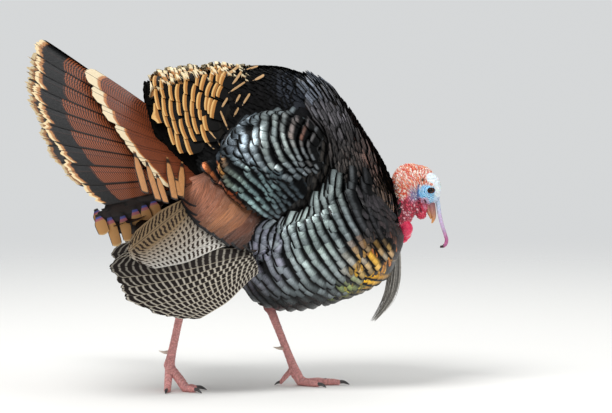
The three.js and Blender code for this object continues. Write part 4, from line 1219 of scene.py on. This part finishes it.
# Cellular pattern with about one cell for each unit of space: how far a point is from the border between
# its cell and the next, 0 on it, and a chance number of its cell.
def cells(points, seed=1):
    base = np.floor(points)
    best, second, kind = (np.full(len(points), value) for value in (9.0, 9.0, 0.0))
    for step in np.ndindex(3, 3, 3):
        cell = base + np.array(step) - 1
        key = cell @ np.array([127.1, 311.7, 74.7]) + 17.3 * seed
        chances = [np.abs(np.sin(key * factor) * 43758.5453) % 1 for factor in (1.0, 1.31, 1.73, 2.19)]
        far = np.linalg.norm(points - cell - 0.1 - 0.8 * np.stack(chances[:3], -1), axis=-1)
        kind = np.where(far < best, chances[3], kind)
        second = np.maximum(best, np.minimum(second, far))
        best = np.minimum(best, far)
    return second - best, kind


def lineDistance(points, path):  # from a curve drawn on the side of the head
    curve = through(path, np.linspace(0, 1, 30))
    return np.min([np.hypot(points[:, 0] - x, points[:, 2] - z) for x, z in curve], axis=0)


# ---- head and neck
head = {
    "neck": [(262, 0, 322, 39), (296, 0, 352, 37), (321, 0, 385, 32), (334, 0, 420, 26)],
    "wattles": [(324, 12, 334, 18), (324, -12, 334, 18), (327, 0, 322, 13)],
    "lobe": {"at": (319, 0, 308), "half": (13, 15, 6), "pitch": 8, "along": 2, "around": 2},
    "throat": [(361, 4, 363, 9), (361, -4, 363, 9), (366, 0, 378, 10), (354, 0, 374, 11)],
    "forehead": [(379, 0, 444, 7), (390, 0, 434, 8), (395, 0, 419, 7), (393, 0, 406, 5.5)],
    "snood": [(391, 0, 406, 6), (396, 0, 386, 4.6), (399, 0, 366, 4.2), (404, 0, 344, 3.9),
              (411, 0, 322, 3.7), (414.5, 0, 308, 3.8), (411, 0, 298, 3.6), (403, 0, 294.5, 2.6)],
    "fold": [(353, 426), (351.5, 412), (353, 397), (356.6, 381), (360, 370)],
    "face": [(367, 412), (378, 409), (383, 398)],
    "white": [(379, 442), (390, 436), (397, 420), (397, 410)],
    "mouth": [(366, 395), (371, 384), (378, 369)],
    "ear": (362, 437), "streakCentre": (364, 392),
}


def ball(points, place):  # distance from a ball
    x, y, z, radius = place
    return np.linalg.norm(points - (x, y, z), axis=-1) - radius


def headField(points):  # bone, soft parts, wattles and snood, each blended more tightly than the last
    bone = blend(4, ovalDistance(skull, points), ovalDistance(crown, points),
                 tubeDistance(head["neck"], points, 0.93))
    soft = blend(2, bone, *(ball(points, place) for place in head["throat"]),
                 tubeDistance(head["forehead"], points, 1.5))
    wattle = blend(1.5, *(ball(points, place) for place in head["wattles"]))
    return blend(0.9, soft, wattle, ovalDistance(head["lobe"], points),
                 tubeDistance(head["snood"], points))


def eyeDistance(points):  # 1 on the rim of the eye's opening
    return np.hypot((points[:, 0] - eye["at"][0]) / 7.4, (points[:, 2] - eye["at"][2]) / 5.8)


def overlaid(colour, *layers):  # every layer is a share from 0 to 1 and the colour that it brings
    for share, hexColour in layers:
        colour = colour + share[:, None] * (linear(hexColour) - colour)
    return colour


# The relief and the colours of head and neck: beads on the crown in streaks, wrinkled pebbles on the neck,
# rings round the eye, the fold behind the cheek, the mouth, the ear and the lids.
# Light pebble tops, pale pink pebbles and cheek ridges are painted highlight; dark gaps between beads and
# pebbles and the cheek's grooves are painted shade.
def headSkin(points):
    x, y, z = points.T
    onSide = smooth((np.abs(y) - 5) / 9)
    dx, dz = x - head["streakCentre"][0], z - head["streakCentre"][1]
    reach, angle = np.hypot(dx, dz), np.arctan2(dz, dx)
    behind = smooth((angle - 2.0) / 0.7)
    bead, kind = cells(np.stack([angle * 55 / 2.8, reach / (11 - 7 * behind), y / 3.8], -1), 3)
    slant = np.stack([(0.8 * x + 0.6 * z) / 4.2, y / 5, (0.8 * z - 0.6 * x) / 7.5], -1)
    pebble, pebbleKind = cells(slant, 5)
    isCrown = smooth((z - 396 - 0.25 * (x - 330)) / 12)
    face = smooth((17.5 - lineDistance(points, head["face"])) / 5) * onSide
    white = smooth((11.5 - lineDistance(points, head["white"])) / 3)
    fold = lineDistance(points, head["fold"])
    foldX = np.interp(-z, [-p[1] for p in head["fold"]], [p[0] for p in head["fold"]])
    ahead = smooth((x - foldX) / 3)
    rings = lineDistance(points, [(eye["at"][0] - 2, eye["at"][2]), (eye["at"][0] + 2, eye["at"][2])])
    wave = 0.5 + 0.5 * np.sin(2 * np.pi * rings / 3.1 + 1.6 * np.sin(0.55 * x) + 1.3 * np.sin(0.5 * z + 1))
    mouth = lineDistance(points, head["mouth"])
    ear = np.hypot(x - head["ear"][0], z - head["ear"][1])
    lid = eyeDistance(points)
    wattle = smooth((4 - np.min([ball(points, place) for place in head["wattles"]], axis=0)) / 3)
    lobe = smooth((3 - ovalDistance(head["lobe"], points)) / 2)
    wattle = np.maximum(wattle, lobe)
    snood = smooth((3.2 - tubeDistance(head["snood"][1:], points)) / 2) * smooth((398 - z) / 6)
    plain = np.maximum.reduce([face, white, wattle, snood])
    throat = smooth((x - 352) / 4) * smooth((388 - z) / 5) * (1 - face)

    def line(distance, width):  # a bell across a line on the side of the head
        return onSide * np.exp(-(distance / width) ** 2)
    relief = isCrown * (1 - plain) * 1.5 * (smooth(bead / 0.4) - 0.4)
    relief += (1 - isCrown) * (1 - plain) * 2.0 * (smooth(pebble / 0.4) - 0.4)
    relief += face * 0.8 * (wave - 0.5) * smooth((lid - 1.25) / 0.4)
    relief += 2.0 * ahead * line(fold - 4.5, 3) - 3.2 * line(fold, 1.9)
    relief -= 1.6 * line(mouth, 1.3) + 3.0 * line(ear, 2.6)
    relief += onSide * (2.3 * np.exp(-((lid - 1.15) / 0.2) ** 2) - 5.0 * smooth((1.05 - lid) / 0.25))
    relief += snood * 0.35 * np.sin(2 * np.pi * z / 3.4)
    relief += white * 0.8 * (smooth(pebble / 0.4) - 0.4)

    beadTop, pebbleTop = smooth(bead / 0.3), smooth(pebble / 0.4)
    # On the neck the dark red between the pebbles is painted shade, and the pale pink pebbles are painted
    # highlight.
    red = overlaid(flat("#cb2c48", len(x)), (pebbleKind * 0.7, "#ec8498"),
                   (smooth((pebbleKind - 0.72) / 0.1) * 0.7, "#f2c4cc"), (1 - pebbleTop, "#7c1428"))
    lilac = np.exp(-(((x - 343) / 12) ** 2 + ((z - 406) / 14) ** 2) ** 1.5) * onSide
    comb = np.abs((angle * 55 / 5.6 + 0.3 * np.sin(reach / 5 + 9 * kind)) % 1 - 0.5)
    pale = smooth((0.33 - comb) / 0.07) * (1 - behind) + smooth((kind - 0.34) / 0.06) * behind
    # On the crown the darker red between the beads is painted shade.
    top = overlaid(flat("#d4452f", len(x)), (pale, "#f3e6d8"), (smooth((kind - 0.8) / 0.04), "#e8916c"),
                   ((1 - beadTop) * 0.75, "#a8402c"))
    # On the blue cheek the near-white on the ridges of the rings is painted highlight and the dark blue in
    # their grooves is painted shade.
    cheek = overlaid(flat("#66c4f4", len(x)), (smooth((0.45 - wave) / 0.4), "#2270ac"),
                     (smooth((wave - 0.6) / 0.25) * 0.85, "#e2f8fc"),
                     (np.exp(-((x - 357) / 7) ** 2 - ((z - 404) / 12) ** 2) * 0.5, "#4aa4e4"))
    colour = red + isCrown[:, None] * (top - red)
    # The lilac patch is paler on the pebble tops as painted highlight and darker between them as painted
    # shade.
    colour = overlaid(colour, (lilac * pebbleTop * (0.6 + 0.4 * pebbleKind), "#a8cbe0"),
                      (lilac * (1 - pebbleTop) * 0.9, "#5c6a9c"))
    colour += face[:, None] * (cheek - colour)
    bridge = smooth((x - 384) / 4) * smooth((z - 382) / 6)
    stripe = smooth((4.5 - np.abs(mouth - 4.5)) / 2) * onSide * smooth((x - 356) / 3) * (z < 400)
    colour = overlaid(
        colour, (throat * (1 - white) * 0.7, "#cc3450"), (bridge * 0.9, "#bfd6ea"), (white, "#e3ebf0"),
        (stripe * 0.7, "#c3a3bd"),
        (line(fold, 2.2) * smooth((z - 388) / 14) * 0.7, "#2a70b4"),
        (line(fold, 2.6) * smooth((398 - z) / 14), "#12142a"), (line(mouth, 1.6), "#2c1420"),
        (line(ear, 5.5) * 0.7, "#8c5a40"), (line(ear, 2.6), "#160f10"),
        (onSide * smooth((1.14 - lid) / 0.1), "#1c1a20"),
        (wattle, "#e43a60"), (snood, "#c9b4d4"), (snood * smooth((z - 352) / 34) * 0.85, "#bcd4e8"),
        (snood * smooth((345 - z) / 40), "#b0608c"), (snood * smooth((411 - x) / 5) * (z < 300), "#2a1820"))
    gloss = np.clip(0.35 + 0.5 * wattle + 0.25 * (1 - isCrown), 0, 1)
    return relief, colour, gloss


# ---- legs
legs = {
    "left": {"hip": (70, 48, 262), "hock": (34, 44, 190), "ball": (99, 36, 24), "heading": -4, "rise": 0,
             "toes": {"inner": (62, 40, 7.4), "middle": (92, 0, 8), "outer": (70, -34, 7.2)},
             "hind": (28, 168, 5.6)},
    "right": {"hip": (-66, -56, 300), "hock": (-137, -42, 216), "ball": (-172, -38, 52), "heading": -48,
              "rise": 0.22, "toes": {"inner": (58, 40, 7.4), "middle": (76, 0, 8), "outer": (56, -50, 7.2)},
              "hind": (30, 150, 5.6)},
}
shank = [(0, 12), (0.06, 11.8), (0.16, 9.6), (0.45, 8), (0.8, 8.4), (1, 11)]  # share of the way, radius
thigh = [(0, 36), (0.55, 25), (1, 13)]
spur = {"height": 79, "length": 29}


def between(start, end, share):  # a point of the straight line
    return np.array(start) * (1 - share) + np.array(end) * share


# Rows along a toe or its claw that starts at start and lies flat, turned away from the way the leg heads.
def toeRows(leg, side, start, length, turn, points):  # points are how far along, how high and how thick
    a = np.radians(leg["heading"] - side * turn)
    way = np.array([np.cos(a), np.sin(a)])
    return [(*(start[:2] + reach * length * way), height, size) for reach, height, size in points]


def legForms(leg, side):  # the rows of a leg's tubes, of its claws and of its spur
    hip, hock, foot = (np.array(leg[key]) for key in ("hip", "hock", "ball"))
    end = between(hock, foot, 0.14)
    tubes = {"thigh": [(*between(hip, end, share), radius) for share, radius in thigh],
             "shank": [(*between(hock, foot, share), radius) for share, radius in shank]}
    claws = {}
    knee = 0.16 + 1.2 * leg["rise"]
    for toe, (length, turn, radius) in leg["toes"].items():
        toeHigh = 0.8 * radius
        kneeHigh = toeHigh + (foot[2] - toeHigh) * (0.12 + leg["rise"])
        tubes[toe] = toeRows(leg, side, foot, length, turn, [
            (0.02, foot[2] - 2, 1.1 * radius), (knee, kneeHigh, 1.05 * radius),
            (knee + 0.2, toeHigh, 0.95 * radius), (0.8, toeHigh, 0.9 * radius),
            (1 - 3 / length, 0.92 * toeHigh, 0.7 * radius)])
        claws[toe] = toeRows(leg, side, foot, length, turn, [
            (1 - 5 / length, toeHigh, 4.4), (1 + 7.3 / length, toeHigh + 0.6, 3.7),
            (1 + 15.7 / length, 0.6 * toeHigh, 2.2), (1 + 21 / length, 1, 0.5)])
    length, turn, radius = leg["hind"]
    start = between(hock, foot, 0.93)
    tip = start[2] - 34 if leg["rise"] else 7
    tubes["hind"] = toeRows(leg, side, start, length, turn, [
        (0.1, start[2], radius), (0.6, start[2] + 0.55 * (tip - start[2]), 0.95 * radius),
        (1, tip, 0.7 * radius)])
    claws["hind"] = toeRows(leg, side, start, length, turn, [
        (0.9, tip + 1, 0.66 * radius), (1.25, tip - 1, 0.45 * radius), (1.5, max(tip - 6, 1.4), 0.5)])
    root = between(hock, foot, (hock[2] - spur["height"]) / (hock[2] - foot[2]))
    out = spur["length"] * np.array([-0.95, -0.3 * side, 0])
    spurRows = [(*root, 5), (*(root + 0.3 * out), 4.4), (*(root + 0.62 * out), 2.8),
                (*(root + out + (0, 0, 3)), 0.5)]
    return tubes, claws, spurRows


# Plates across the front of the shank and the tops of the toes, and small scales elsewhere, with painted
# shade over the top of the shank.
def legSkin(points, tubes):
    top, foot = np.array(tubes["shank"][0][:3]), np.array(tubes["shank"][-1][:3])
    run = foot - top
    share = (points - top) @ run / (run @ run)
    x, z = points[:, 0], points[:, 2]
    axis = top + share[:, None] * run
    front = smooth((x - axis[:, 0] + 1) / 4)
    onFoot = smooth((foot[2] + 2 - z) / 10)
    alongToe = np.linalg.norm(points[:, :2] - foot[:2], axis=-1)
    along = np.where(onFoot > 0.5, alongToe, share * np.linalg.norm(run))
    ring = np.abs((along / 5.2) % 1 - 0.5) * 2
    plate = smooth((1 - ring) / 0.35)
    scale, kind = cells(points / 3.2, 8)
    small = smooth(scale / 0.3)
    isPlate = np.where(onFoot > 0.5, smooth((z - 5) / 4), front)
    cover = isPlate * plate + (1 - isPlate) * small
    bare = smooth((share + 0.02) / 0.06)
    colour = linear("#d99a96") + (0.2 * kind - 0.08)[:, None] * linear("#e8b8b0")
    # The dark red-brown over the top of the shank is painted shade from the body above.
    colour = overlaid(colour, (0.5 * (1 - cover), "#94504e"),
                      (0.75 * smooth((0.34 - share) / 0.2), "#5e2626"))
    return 0.9 * (cover - 0.6) * bare, np.clip(colour, 0, 1), 0.3 + 0 * share


# ---- one skin: the trunk lies a coat's depth inside the solids, and head and legs grow out of it
trunkSkin = {"depth": 15, "voxel": 9, "hex": "#2b2320"}
trunkNodes = ["breast", "belly", "mantle", "back", "rump", "scapulars_left", "scapulars_right", "undertail"]


def trunkMesh():  # the trunk's solids as one voxel mesh, made smooth and sunk inwards
    verts, faces = [], []
    for name in trunkNodes:
        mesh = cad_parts[name].data
        start = len(verts)
        verts += [v.co.copy() for v in mesh.vertices]
        faces += [[i + start for i in face.vertices] for face in mesh.polygons]
    mesh = bpy.data.meshes.new("trunk")
    mesh.from_pydata(verts, [], faces)
    piece = placed("trunk", mesh)
    remesh = piece.modifiers.new("remesh", "REMESH")
    remesh.mode, remesh.voxel_size = "VOXEL", trunkSkin["voxel"] / 1000
    soften = piece.modifiers.new("soften", "SMOOTH")
    soften.iterations, soften.factor = 6, 0.6
    sink = piece.modifiers.new("sink", "DISPLACE")
    sink.mid_level, sink.strength = 0, -trunkSkin["depth"] / 1000
    solid = bpy.data.meshes.new_from_object(piece.evaluated_get(bpy.context.evaluated_depsgraph_get()))
    bpy.data.objects.remove(piece)
    return solid


def skinPart(name, field, low, high, step, finish):  # a mesh of a field, moved out by its relief
    points, quads = netMesh(field, low, high, step)
    relief, colour, gloss = finish(points)
    points = points + slopeOf(field, points) * relief[:, None]
    piece = meshPiece(name, points, quads)
    store(piece, "tint", colour)
    store(piece, "gloss", gloss)
    return piece


headPart = skinPart("headSkin", headField, (214, -46, 278), (422, 46, 478), 1.15, headSkin)
print("head", len(headPart.data.polygons), "faces")
legParts, legClaws, legSpurs = {}, {}, {}
for name, side in sides.items():
    tubes, legClaws[name], legSpurs[name] = legForms(legs[name], side)
    everything = np.array([row for rows in tubes.values() for row in rows])
    low = (everything[:, :3] - everything[:, 3:]).min(0) - 4
    high = (everything[:, :3] + everything[:, 3:]).max(0) + 4

    def legField(points, tubes=tubes):
        flesh = blend(1.2, *(tubeDistance(rows, points, steps=3) for rows in tubes.values()))
        return np.maximum(flesh, 0.9 - points[..., 2])
    legParts[name] = skinPart("legSkin_" + name, legField, low, high, 1.5,
                              lambda points, tubes=tubes: legSkin(points, tubes))
    print("leg", len(legParts[name].data.polygons), "faces")
trunk = placed("skin", trunkMesh())
count = len(trunk.data.vertices)
store(trunk, "tint", flat(trunkSkin["hex"], count))
store(trunk, "gloss", np.zeros(count))
for part in (headPart, *legParts.values()):
    union = trunk.modifiers.new("union", "BOOLEAN")
    union.operation, union.solver, union.object = "UNION", "MANIFOLD", part
skinMesh = bpy.data.meshes.new_from_object(trunk.evaluated_get(bpy.context.evaluated_depsgraph_get()))
skinMesh.name = "skin"
for part in (headPart, *legParts.values(), trunk):
    bpy.data.objects.remove(part)
skin = placed("skin", skinMesh)
skinMesh.polygons.foreach_set("use_smooth", np.ones(len(skinMesh.polygons), bool))
skinMesh.materials.clear()
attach(skin, "root")


# Moist bare skin: the colours lie in the points, with small blotches and pores over them.
def skinMaterial():
    material, tree, shader = newMaterial("bareSkin", 0.0, 1.42)
    tint = add(tree, "Attribute", attribute_name="tint").outputs["Color"]
    gloss = add(tree, "Attribute", attribute_name="gloss").outputs["Fac"]
    here = add(tree, "TexCoord").outputs["Object"]
    blotch = add(tree, "TexNoise", {"Vector": here, "Scale": 260.0, "Detail": 3.0})
    shade = add(tree, "MapRange", {0: blotch, 1: 0.3, 2: 0.7, 3: 0.82, 4: 1.16})
    colour = add(tree, "Mix", {0: 1.0, 6: tint, 7: shade}, data_type="RGBA", blend_type="MULTIPLY")
    rough = add(tree, "MapRange", {0: gloss, 3: 0.75, 4: 0.16})
    pores = add(tree, "TexNoise", {"Vector": here, "Scale": 900.0, "Detail": 2.0})
    bump = add(tree, "Bump", {"Strength": 0.25, "Distance": 0.0004, "Height": pores})
    feed(tree, shader, {"Base Color": colour, "Roughness": rough, "Normal": bump, "Subsurface Weight": 0.12,
                        "Subsurface Scale": 0.002})
    return material


dress(skin, skinMaterial(), "head_skin", "head", "neck", "wattles", "snood", "breast", "belly", "mantle",
      "back", "rump", *(f"{part}_{name}" for part in ("thigh", "shank") for name in sides),
      *(f"toe_{toe}_{name}" for toe in ("inner", "middle", "outer", "hind") for name in sides))
print("skin done")

# ---- horn: bill, claws and spurs, and the bristles of the beard
# A closed tube through rows of x, y, z, half depth and half width, with round ends.
def tubePart(rows, along, around, sideways=(0, 1, 0), blunt=0.04):
    v = (1 - np.cos(np.pi * np.linspace(0, 1, along))) / 2
    a = 2 * np.pi * np.arange(around) / around
    here = through(rows, v)
    ahead = unit(through(rows, v + 1e-3)[:, :3] - through(rows, v - 1e-3)[:, :3])
    normal = unit(np.cross(ahead, np.array(sideways, float)))
    across = np.cross(normal, ahead)
    closing = np.sqrt(np.clip(1 - np.clip(1 - np.minimum(v, 1 - v) / blunt, 0, 1) ** 2, 1e-4, 1))
    ring = (here[:, None, :3] + normal[:, None] * (here[:, 3] * closing)[:, None, None] * np.cos(a)[:, None]
            + across[:, None] * (here[:, 4] * closing)[:, None, None] * np.sin(a)[:, None])
    points = np.concatenate([ring.reshape(-1, 3), here[[0, -1], :3]])
    i = np.arange(along * around).reshape(along, around)
    j = np.roll(i, -1, 1)
    quads = np.stack([i[:-1], j[:-1], j[1:], i[1:]], -1).reshape(-1, 4)
    last = along * around
    caps = np.concatenate([np.stack([j[0], i[0], np.full(around, last)], -1),
                           np.stack([i[-1], j[-1], np.full(around, last + 1)], -1)])
    share = np.concatenate([np.repeat(v, around), [0, 1]])
    return points, quads, caps, share


def joined(name, parts):  # one piece from several closed tubes
    starts = np.cumsum([0] + [len(part[0]) for part in parts])
    points, quads, caps, share = (np.concatenate([part[k] + (start if k in (1, 2) else 0)
                                                  for part, start in zip(parts, starts)]) for k in range(4))
    piece = meshPiece(name, points, quads, caps)
    store(piece, "share", share)
    return piece


# Horn runs from the root's colour to the tip's by share ** power, with a fine grain.
def hornMaterial(name, root, tip, roughness=0.35, streak=0.25, power=1.0):
    material, tree, shader = newMaterial(name, 0.0, 1.54)
    share = add(tree, "Attribute", attribute_name="share").outputs["Fac"]
    here = add(tree, "TexCoord").outputs["Object"]
    grain = add(tree, "TexNoise", {"Vector": here, "Scale": 420.0, "Detail": 3.0})
    far = add(tree, "Math", (share, power), operation="POWER")
    colour = add(tree, "Mix", {0: far, 6: rgba(root), 7: rgba(tip)}, data_type="RGBA")
    shade = add(tree, "MapRange", {0: grain, 1: 0.3, 2: 0.7, 3: 1 - streak, 4: 1 + streak})
    colour = add(tree, "Mix", {0: 1.0, 6: colour, 7: shade}, data_type="RGBA", blend_type="MULTIPLY")
    bump = add(tree, "Bump", {"Strength": 0.3, "Distance": 0.0003, "Height": grain})
    feed(tree, shader, {"Base Color": colour, "Roughness": roughness, "Normal": bump})
    return material


bill = {
    "upper": [(374, 0, 404, 10, 9.5), (380, 0, 389, 9.2, 8.8), (384.5, 0, 372, 7.2, 7.2),
              (387, 0, 358, 5, 5.2), (385, 0, 348, 2.6, 3), (382.5, 0, 344.5, 0.8, 1)],
    "lower": [(366, 0, 402, 8, 8.5), (371.5, 0, 387, 6.6, 7.6), (376, 0, 371, 4.8, 6.2),
              (380, 0, 358, 2.4, 3.8), (381, 0, 353, 1, 1.6)],
}
billHorn = hornMaterial("billHorn", "#87566a", "#e6a650", 0.32, power=1.6)
for part, rows in bill.items():
    dress(joined("bill_" + part, [tubePart(rows, 40, 28)]), billHorn, "bill_horn", "bill_" + part)
clawHorn = hornMaterial("clawHorn", "#54504e", "#26262c", 0.3)
spurHorn = hornMaterial("spurHorn", "#a87a70", "#e8dccc", 0.3)
for name in sides:
    for toe, rows in legClaws[name].items():
        piece = joined(f"claw_{toe}_{name}", [tubePart([(*row, row[3] * 0.85) for row in rows], 18, 14)])
        dress(piece, clawHorn, "claw_horn", f"claw_{toe}_{name}")
    rows = [(*row, row[3]) for row in legSpurs[name]]
    piece = joined("spur_" + name, [tubePart(rows, 20, 14, (0, 0, 1))])
    dress(piece, spurHorn, "claw_horn", "spur_" + name)

# ---- eyes: a dark brown iris round a black pupil under a wet cornea
iris = {"pupilHex": "#050405", "irisHex": "#74402a", "rimHex": "#3a1e16"}
eyeMaterial, tree, shader = newMaterial("wetEye", 0.0, 1.38)
share = add(tree, "Attribute", attribute_name="share").outputs["Fac"]
ramp = add(tree, "MapRange", {0: share, 1: 0.11, 2: 0.15}, interpolation_type="SMOOTHSTEP")
colour = add(tree, "Mix", {0: ramp, 6: rgba(iris["pupilHex"]), 7: rgba(iris["irisHex"])}, data_type="RGBA")
ramp = add(tree, "MapRange", {0: share, 1: 0.33, 2: 0.38}, interpolation_type="SMOOTHSTEP")
colour = add(tree, "Mix", {0: ramp, 6: colour, 7: rgba(iris["rimHex"])}, data_type="RGBA")
feed(tree, shader, {"Base Color": colour, "Roughness": 0.05})
for name, side in sides.items():
    x, y, z = eye["at"]
    radius, t = eye["radius"], np.linspace(0, 1, 33)
    ring = 2 * radius * np.sqrt(t * (1 - t))
    rows = np.stack([x + 0 * t, side * (y + radius - 2 * radius * t), z + 0 * t, ring, ring], -1)
    piece = joined("eye_" + name, [tubePart(rows, 33, 32, (1, 0, 0), 1e-3)])
    dress(piece, eyeMaterial, "eye", "eye_" + name)

# ---- beard
beard = {"path": [(303, 0, 322, 8, 5), (305, 0, 290, 11, 7), (304, 0, 252, 14, 8), (300, 0, 214, 14.5, 8),
                  (287, 0, 176, 12.5, 6.5), (258, 0, 137, 5, 3)], "bristles": 230, "radius": 0.8}
chance = np.random.default_rng(12)
parts = []
for k in range(beard["bristles"]):
    a, r = 2.399963 * k, np.sqrt((k + 0.5) / beard["bristles"])
    t = np.linspace(0.0, 1 - 0.35 * chance.random(), 10)
    here = through(beard["path"], t)
    wave = 1.6 * np.sin(6 * t + 6 * chance.random()) * t
    x = here[:, 0] + here[:, 3] * (r * np.cos(a) + 0.1 * wave)
    y = here[:, 1] + here[:, 4] * r * np.sin(a) + wave
    size = beard["radius"] * (1 - 0.7 * np.linspace(0, 1, 10) ** 2)
    points, quads, caps, ends = tubePart(np.stack([x, y, here[:, 2], size, size], -1), 14, 5)
    parts.append((points, quads, caps, 0 * ends + chance.random()))
bristle = hornMaterial("beardBristle", "#5c5955", "#c2beb6", 0.45, 0.4)
dress(joined("beard", parts), bristle, "bristle", "beard")

# ---- feathers on the thighs
thighShape = {"length": 30, "width": 18, "base": -2, "lift": 6, "tip": 0.5, "tipPower": 2, "ragged": 0.04,
              "grid": (5, 7), "patch": 0.008, "span": (0.1, 0.9), "rowGap": 11, "gap": 12}
for name, side in sides.items():
    leg = legs[name]
    end = between(leg["hock"], leg["ball"], 0.12)
    rows = [(*between(leg["hip"], end, share), radius + 5, 0.9 * (radius + 5)) for share, radius in thigh]
    surface = tubeSurface(rows)
    roots = rowsOver(surface, thighShape, wholeTurn, seed=4)
    piece = coat("thigh_feathers_" + name, surface, roots, thighShape, "#231b17", (), 12, 33)
    dress(piece, downFeather, "dark_down", "thigh_" + name)
print("legs done")

# ---- ruff: the feathers end on a line down the side of the neck, and lie away from the head
ruff = {"edge": [(354, 317), (372, 322), (397, 319), (416, 309), (434, 299)], "span": (0.1, 0.98),
        "rowGap": 7, "gap": 6, "length": 26, "width": 9, "base": 0.5, "lift": 8, "tip": 0.6,
        "tipPower": 1.8, "camber": 1, "grid": (5, 7), "patch": 0.006, "uneven": 0.15}
surface = tubeSurface([(x, y, z, 0.93 * radius, 0.93 * radius) for x, y, z, radius in head["neck"]])
roots = rowsOver(surface, ruff, wholeTurn, seed=6)
roots["way"] = -roots["way"]
edge = np.array(ruff["edge"], float)
piece = coat("neck_ruff", surface, roots, ruff, "#4a3a30", [(300, 430, 20, 20, "#3a302c", 0.8)], 12, 34,
             shades=0.4, where=lambda roots: roots["at"][:, 0] < np.interp(roots["at"][:, 2], *edge.T) - 2)
dress(piece, bladeFeather, "black_plumage", "mantle")

# ---- camera, floor and light
def look(target, azimuth, elevation, distance):  # a place on a sphere round a target and the turn back
    a, e = np.radians(azimuth), np.radians(elevation)
    back = np.array([np.sin(a) * np.cos(e), -np.cos(a) * np.cos(e), np.sin(e)])
    return target + back * distance, Vector(back).to_track_quat("Z", "Y")


view = {"target": (117.6, 0, 381), "azimuth": -4, "elevation": 4, "distance": 9000, "lens": 252}
place, turn = look((np.array(view["target"]) + shift) / 1000, view["azimuth"], view["elevation"],
                   view["distance"] / 1000)
camera = placed("camera", bpy.data.cameras.new("camera"))
camera.location, camera.rotation_mode, camera.rotation_quaternion = place, "QUATERNION", turn
camera.data.lens, camera.data.sensor_width = view["lens"], 36
camera.data.clip_end = 100
bpy.context.scene.camera = camera

studio = {"floorSize": 10, "fade": (1.2, 4.5), "floorHex": "#efeeeb", "worldHex": "#eceeef", "seen": 0.8,
          "worldLight": 0.75, "worldMirror": 0.4, "aim": (0.03, 0, 0.35),
          "lamps": [{"azimuth": -35, "elevation": 52, "distance": 4, "size": 1.6, "power": 130},
                    {"azimuth": 60, "elevation": 35, "distance": 4.5, "size": 3, "power": 20},
                    {"azimuth": 170, "elevation": 40, "distance": 4.5, "size": 3, "power": 40}]}
corner = studio["floorSize"] / 2
floorMesh = bpy.data.meshes.new("floor")
floorMesh.from_pydata([(x, y, 0) for x, y in ((-corner, -corner), (corner, -corner), (corner, corner),
                                              (-corner, corner))], [], [(0, 1, 2, 3)])
floor = placed("floor", floorMesh)
paper, tree, shader = newMaterial("mattPaper")
feed(tree, shader, {"Base Color": rgba(studio["floorHex"]), "Roughness": 0.9})
floorMesh.materials.append(paper)
# The paper turns clear between the two distances of fade, so that it runs out into the backdrop.
away = add(tree, "VectorMath", (add(tree, "TexCoord").outputs["Object"],), operation="LENGTH")
near, far = studio["fade"]
clear = add(tree, "MapRange", {0: away.outputs["Value"], 1: near, 2: far},
            interpolation_type="SMOOTHSTEP")
mixed = add(tree, "MixShader", (clear, shader, add(tree, "BsdfTransparent")))
feed(tree, tree.nodes["Material Output"], {"Surface": mixed})
for k, lamp in enumerate(studio["lamps"]):
    data = bpy.data.lights.new(f"lamp{k}", "AREA")
    data.energy, data.size = lamp["power"], lamp["size"]
    place, turn = look(np.array(studio["aim"]), lamp["azimuth"], lamp["elevation"], lamp["distance"])
    light = placed(f"lamp{k}", data)
    light.location, light.rotation_mode, light.rotation_quaternion = place, "QUATERNION", turn
world = bpy.data.worlds.new("studio")
bpy.context.scene.world = world
world.use_nodes = True
tree = world.node_tree
rays = add(tree, "LightPath")
plain, mirror, seen = (studio[key] for key in ("worldLight", "worldMirror", "seen"))
strength = add(tree, "Math", (rays.outputs["Is Glossy Ray"], mirror - plain, plain),
               operation="MULTIPLY_ADD")
strength = add(tree, "Math", (rays.outputs["Is Camera Ray"], seen - plain, strength),
               operation="MULTIPLY_ADD")
feed(tree, tree.nodes["Background"], {"Color": rgba(studio["worldHex"]), "Strength": strength})
bpy.context.scene.view_settings.view_transform = "Standard"
print("stage done")
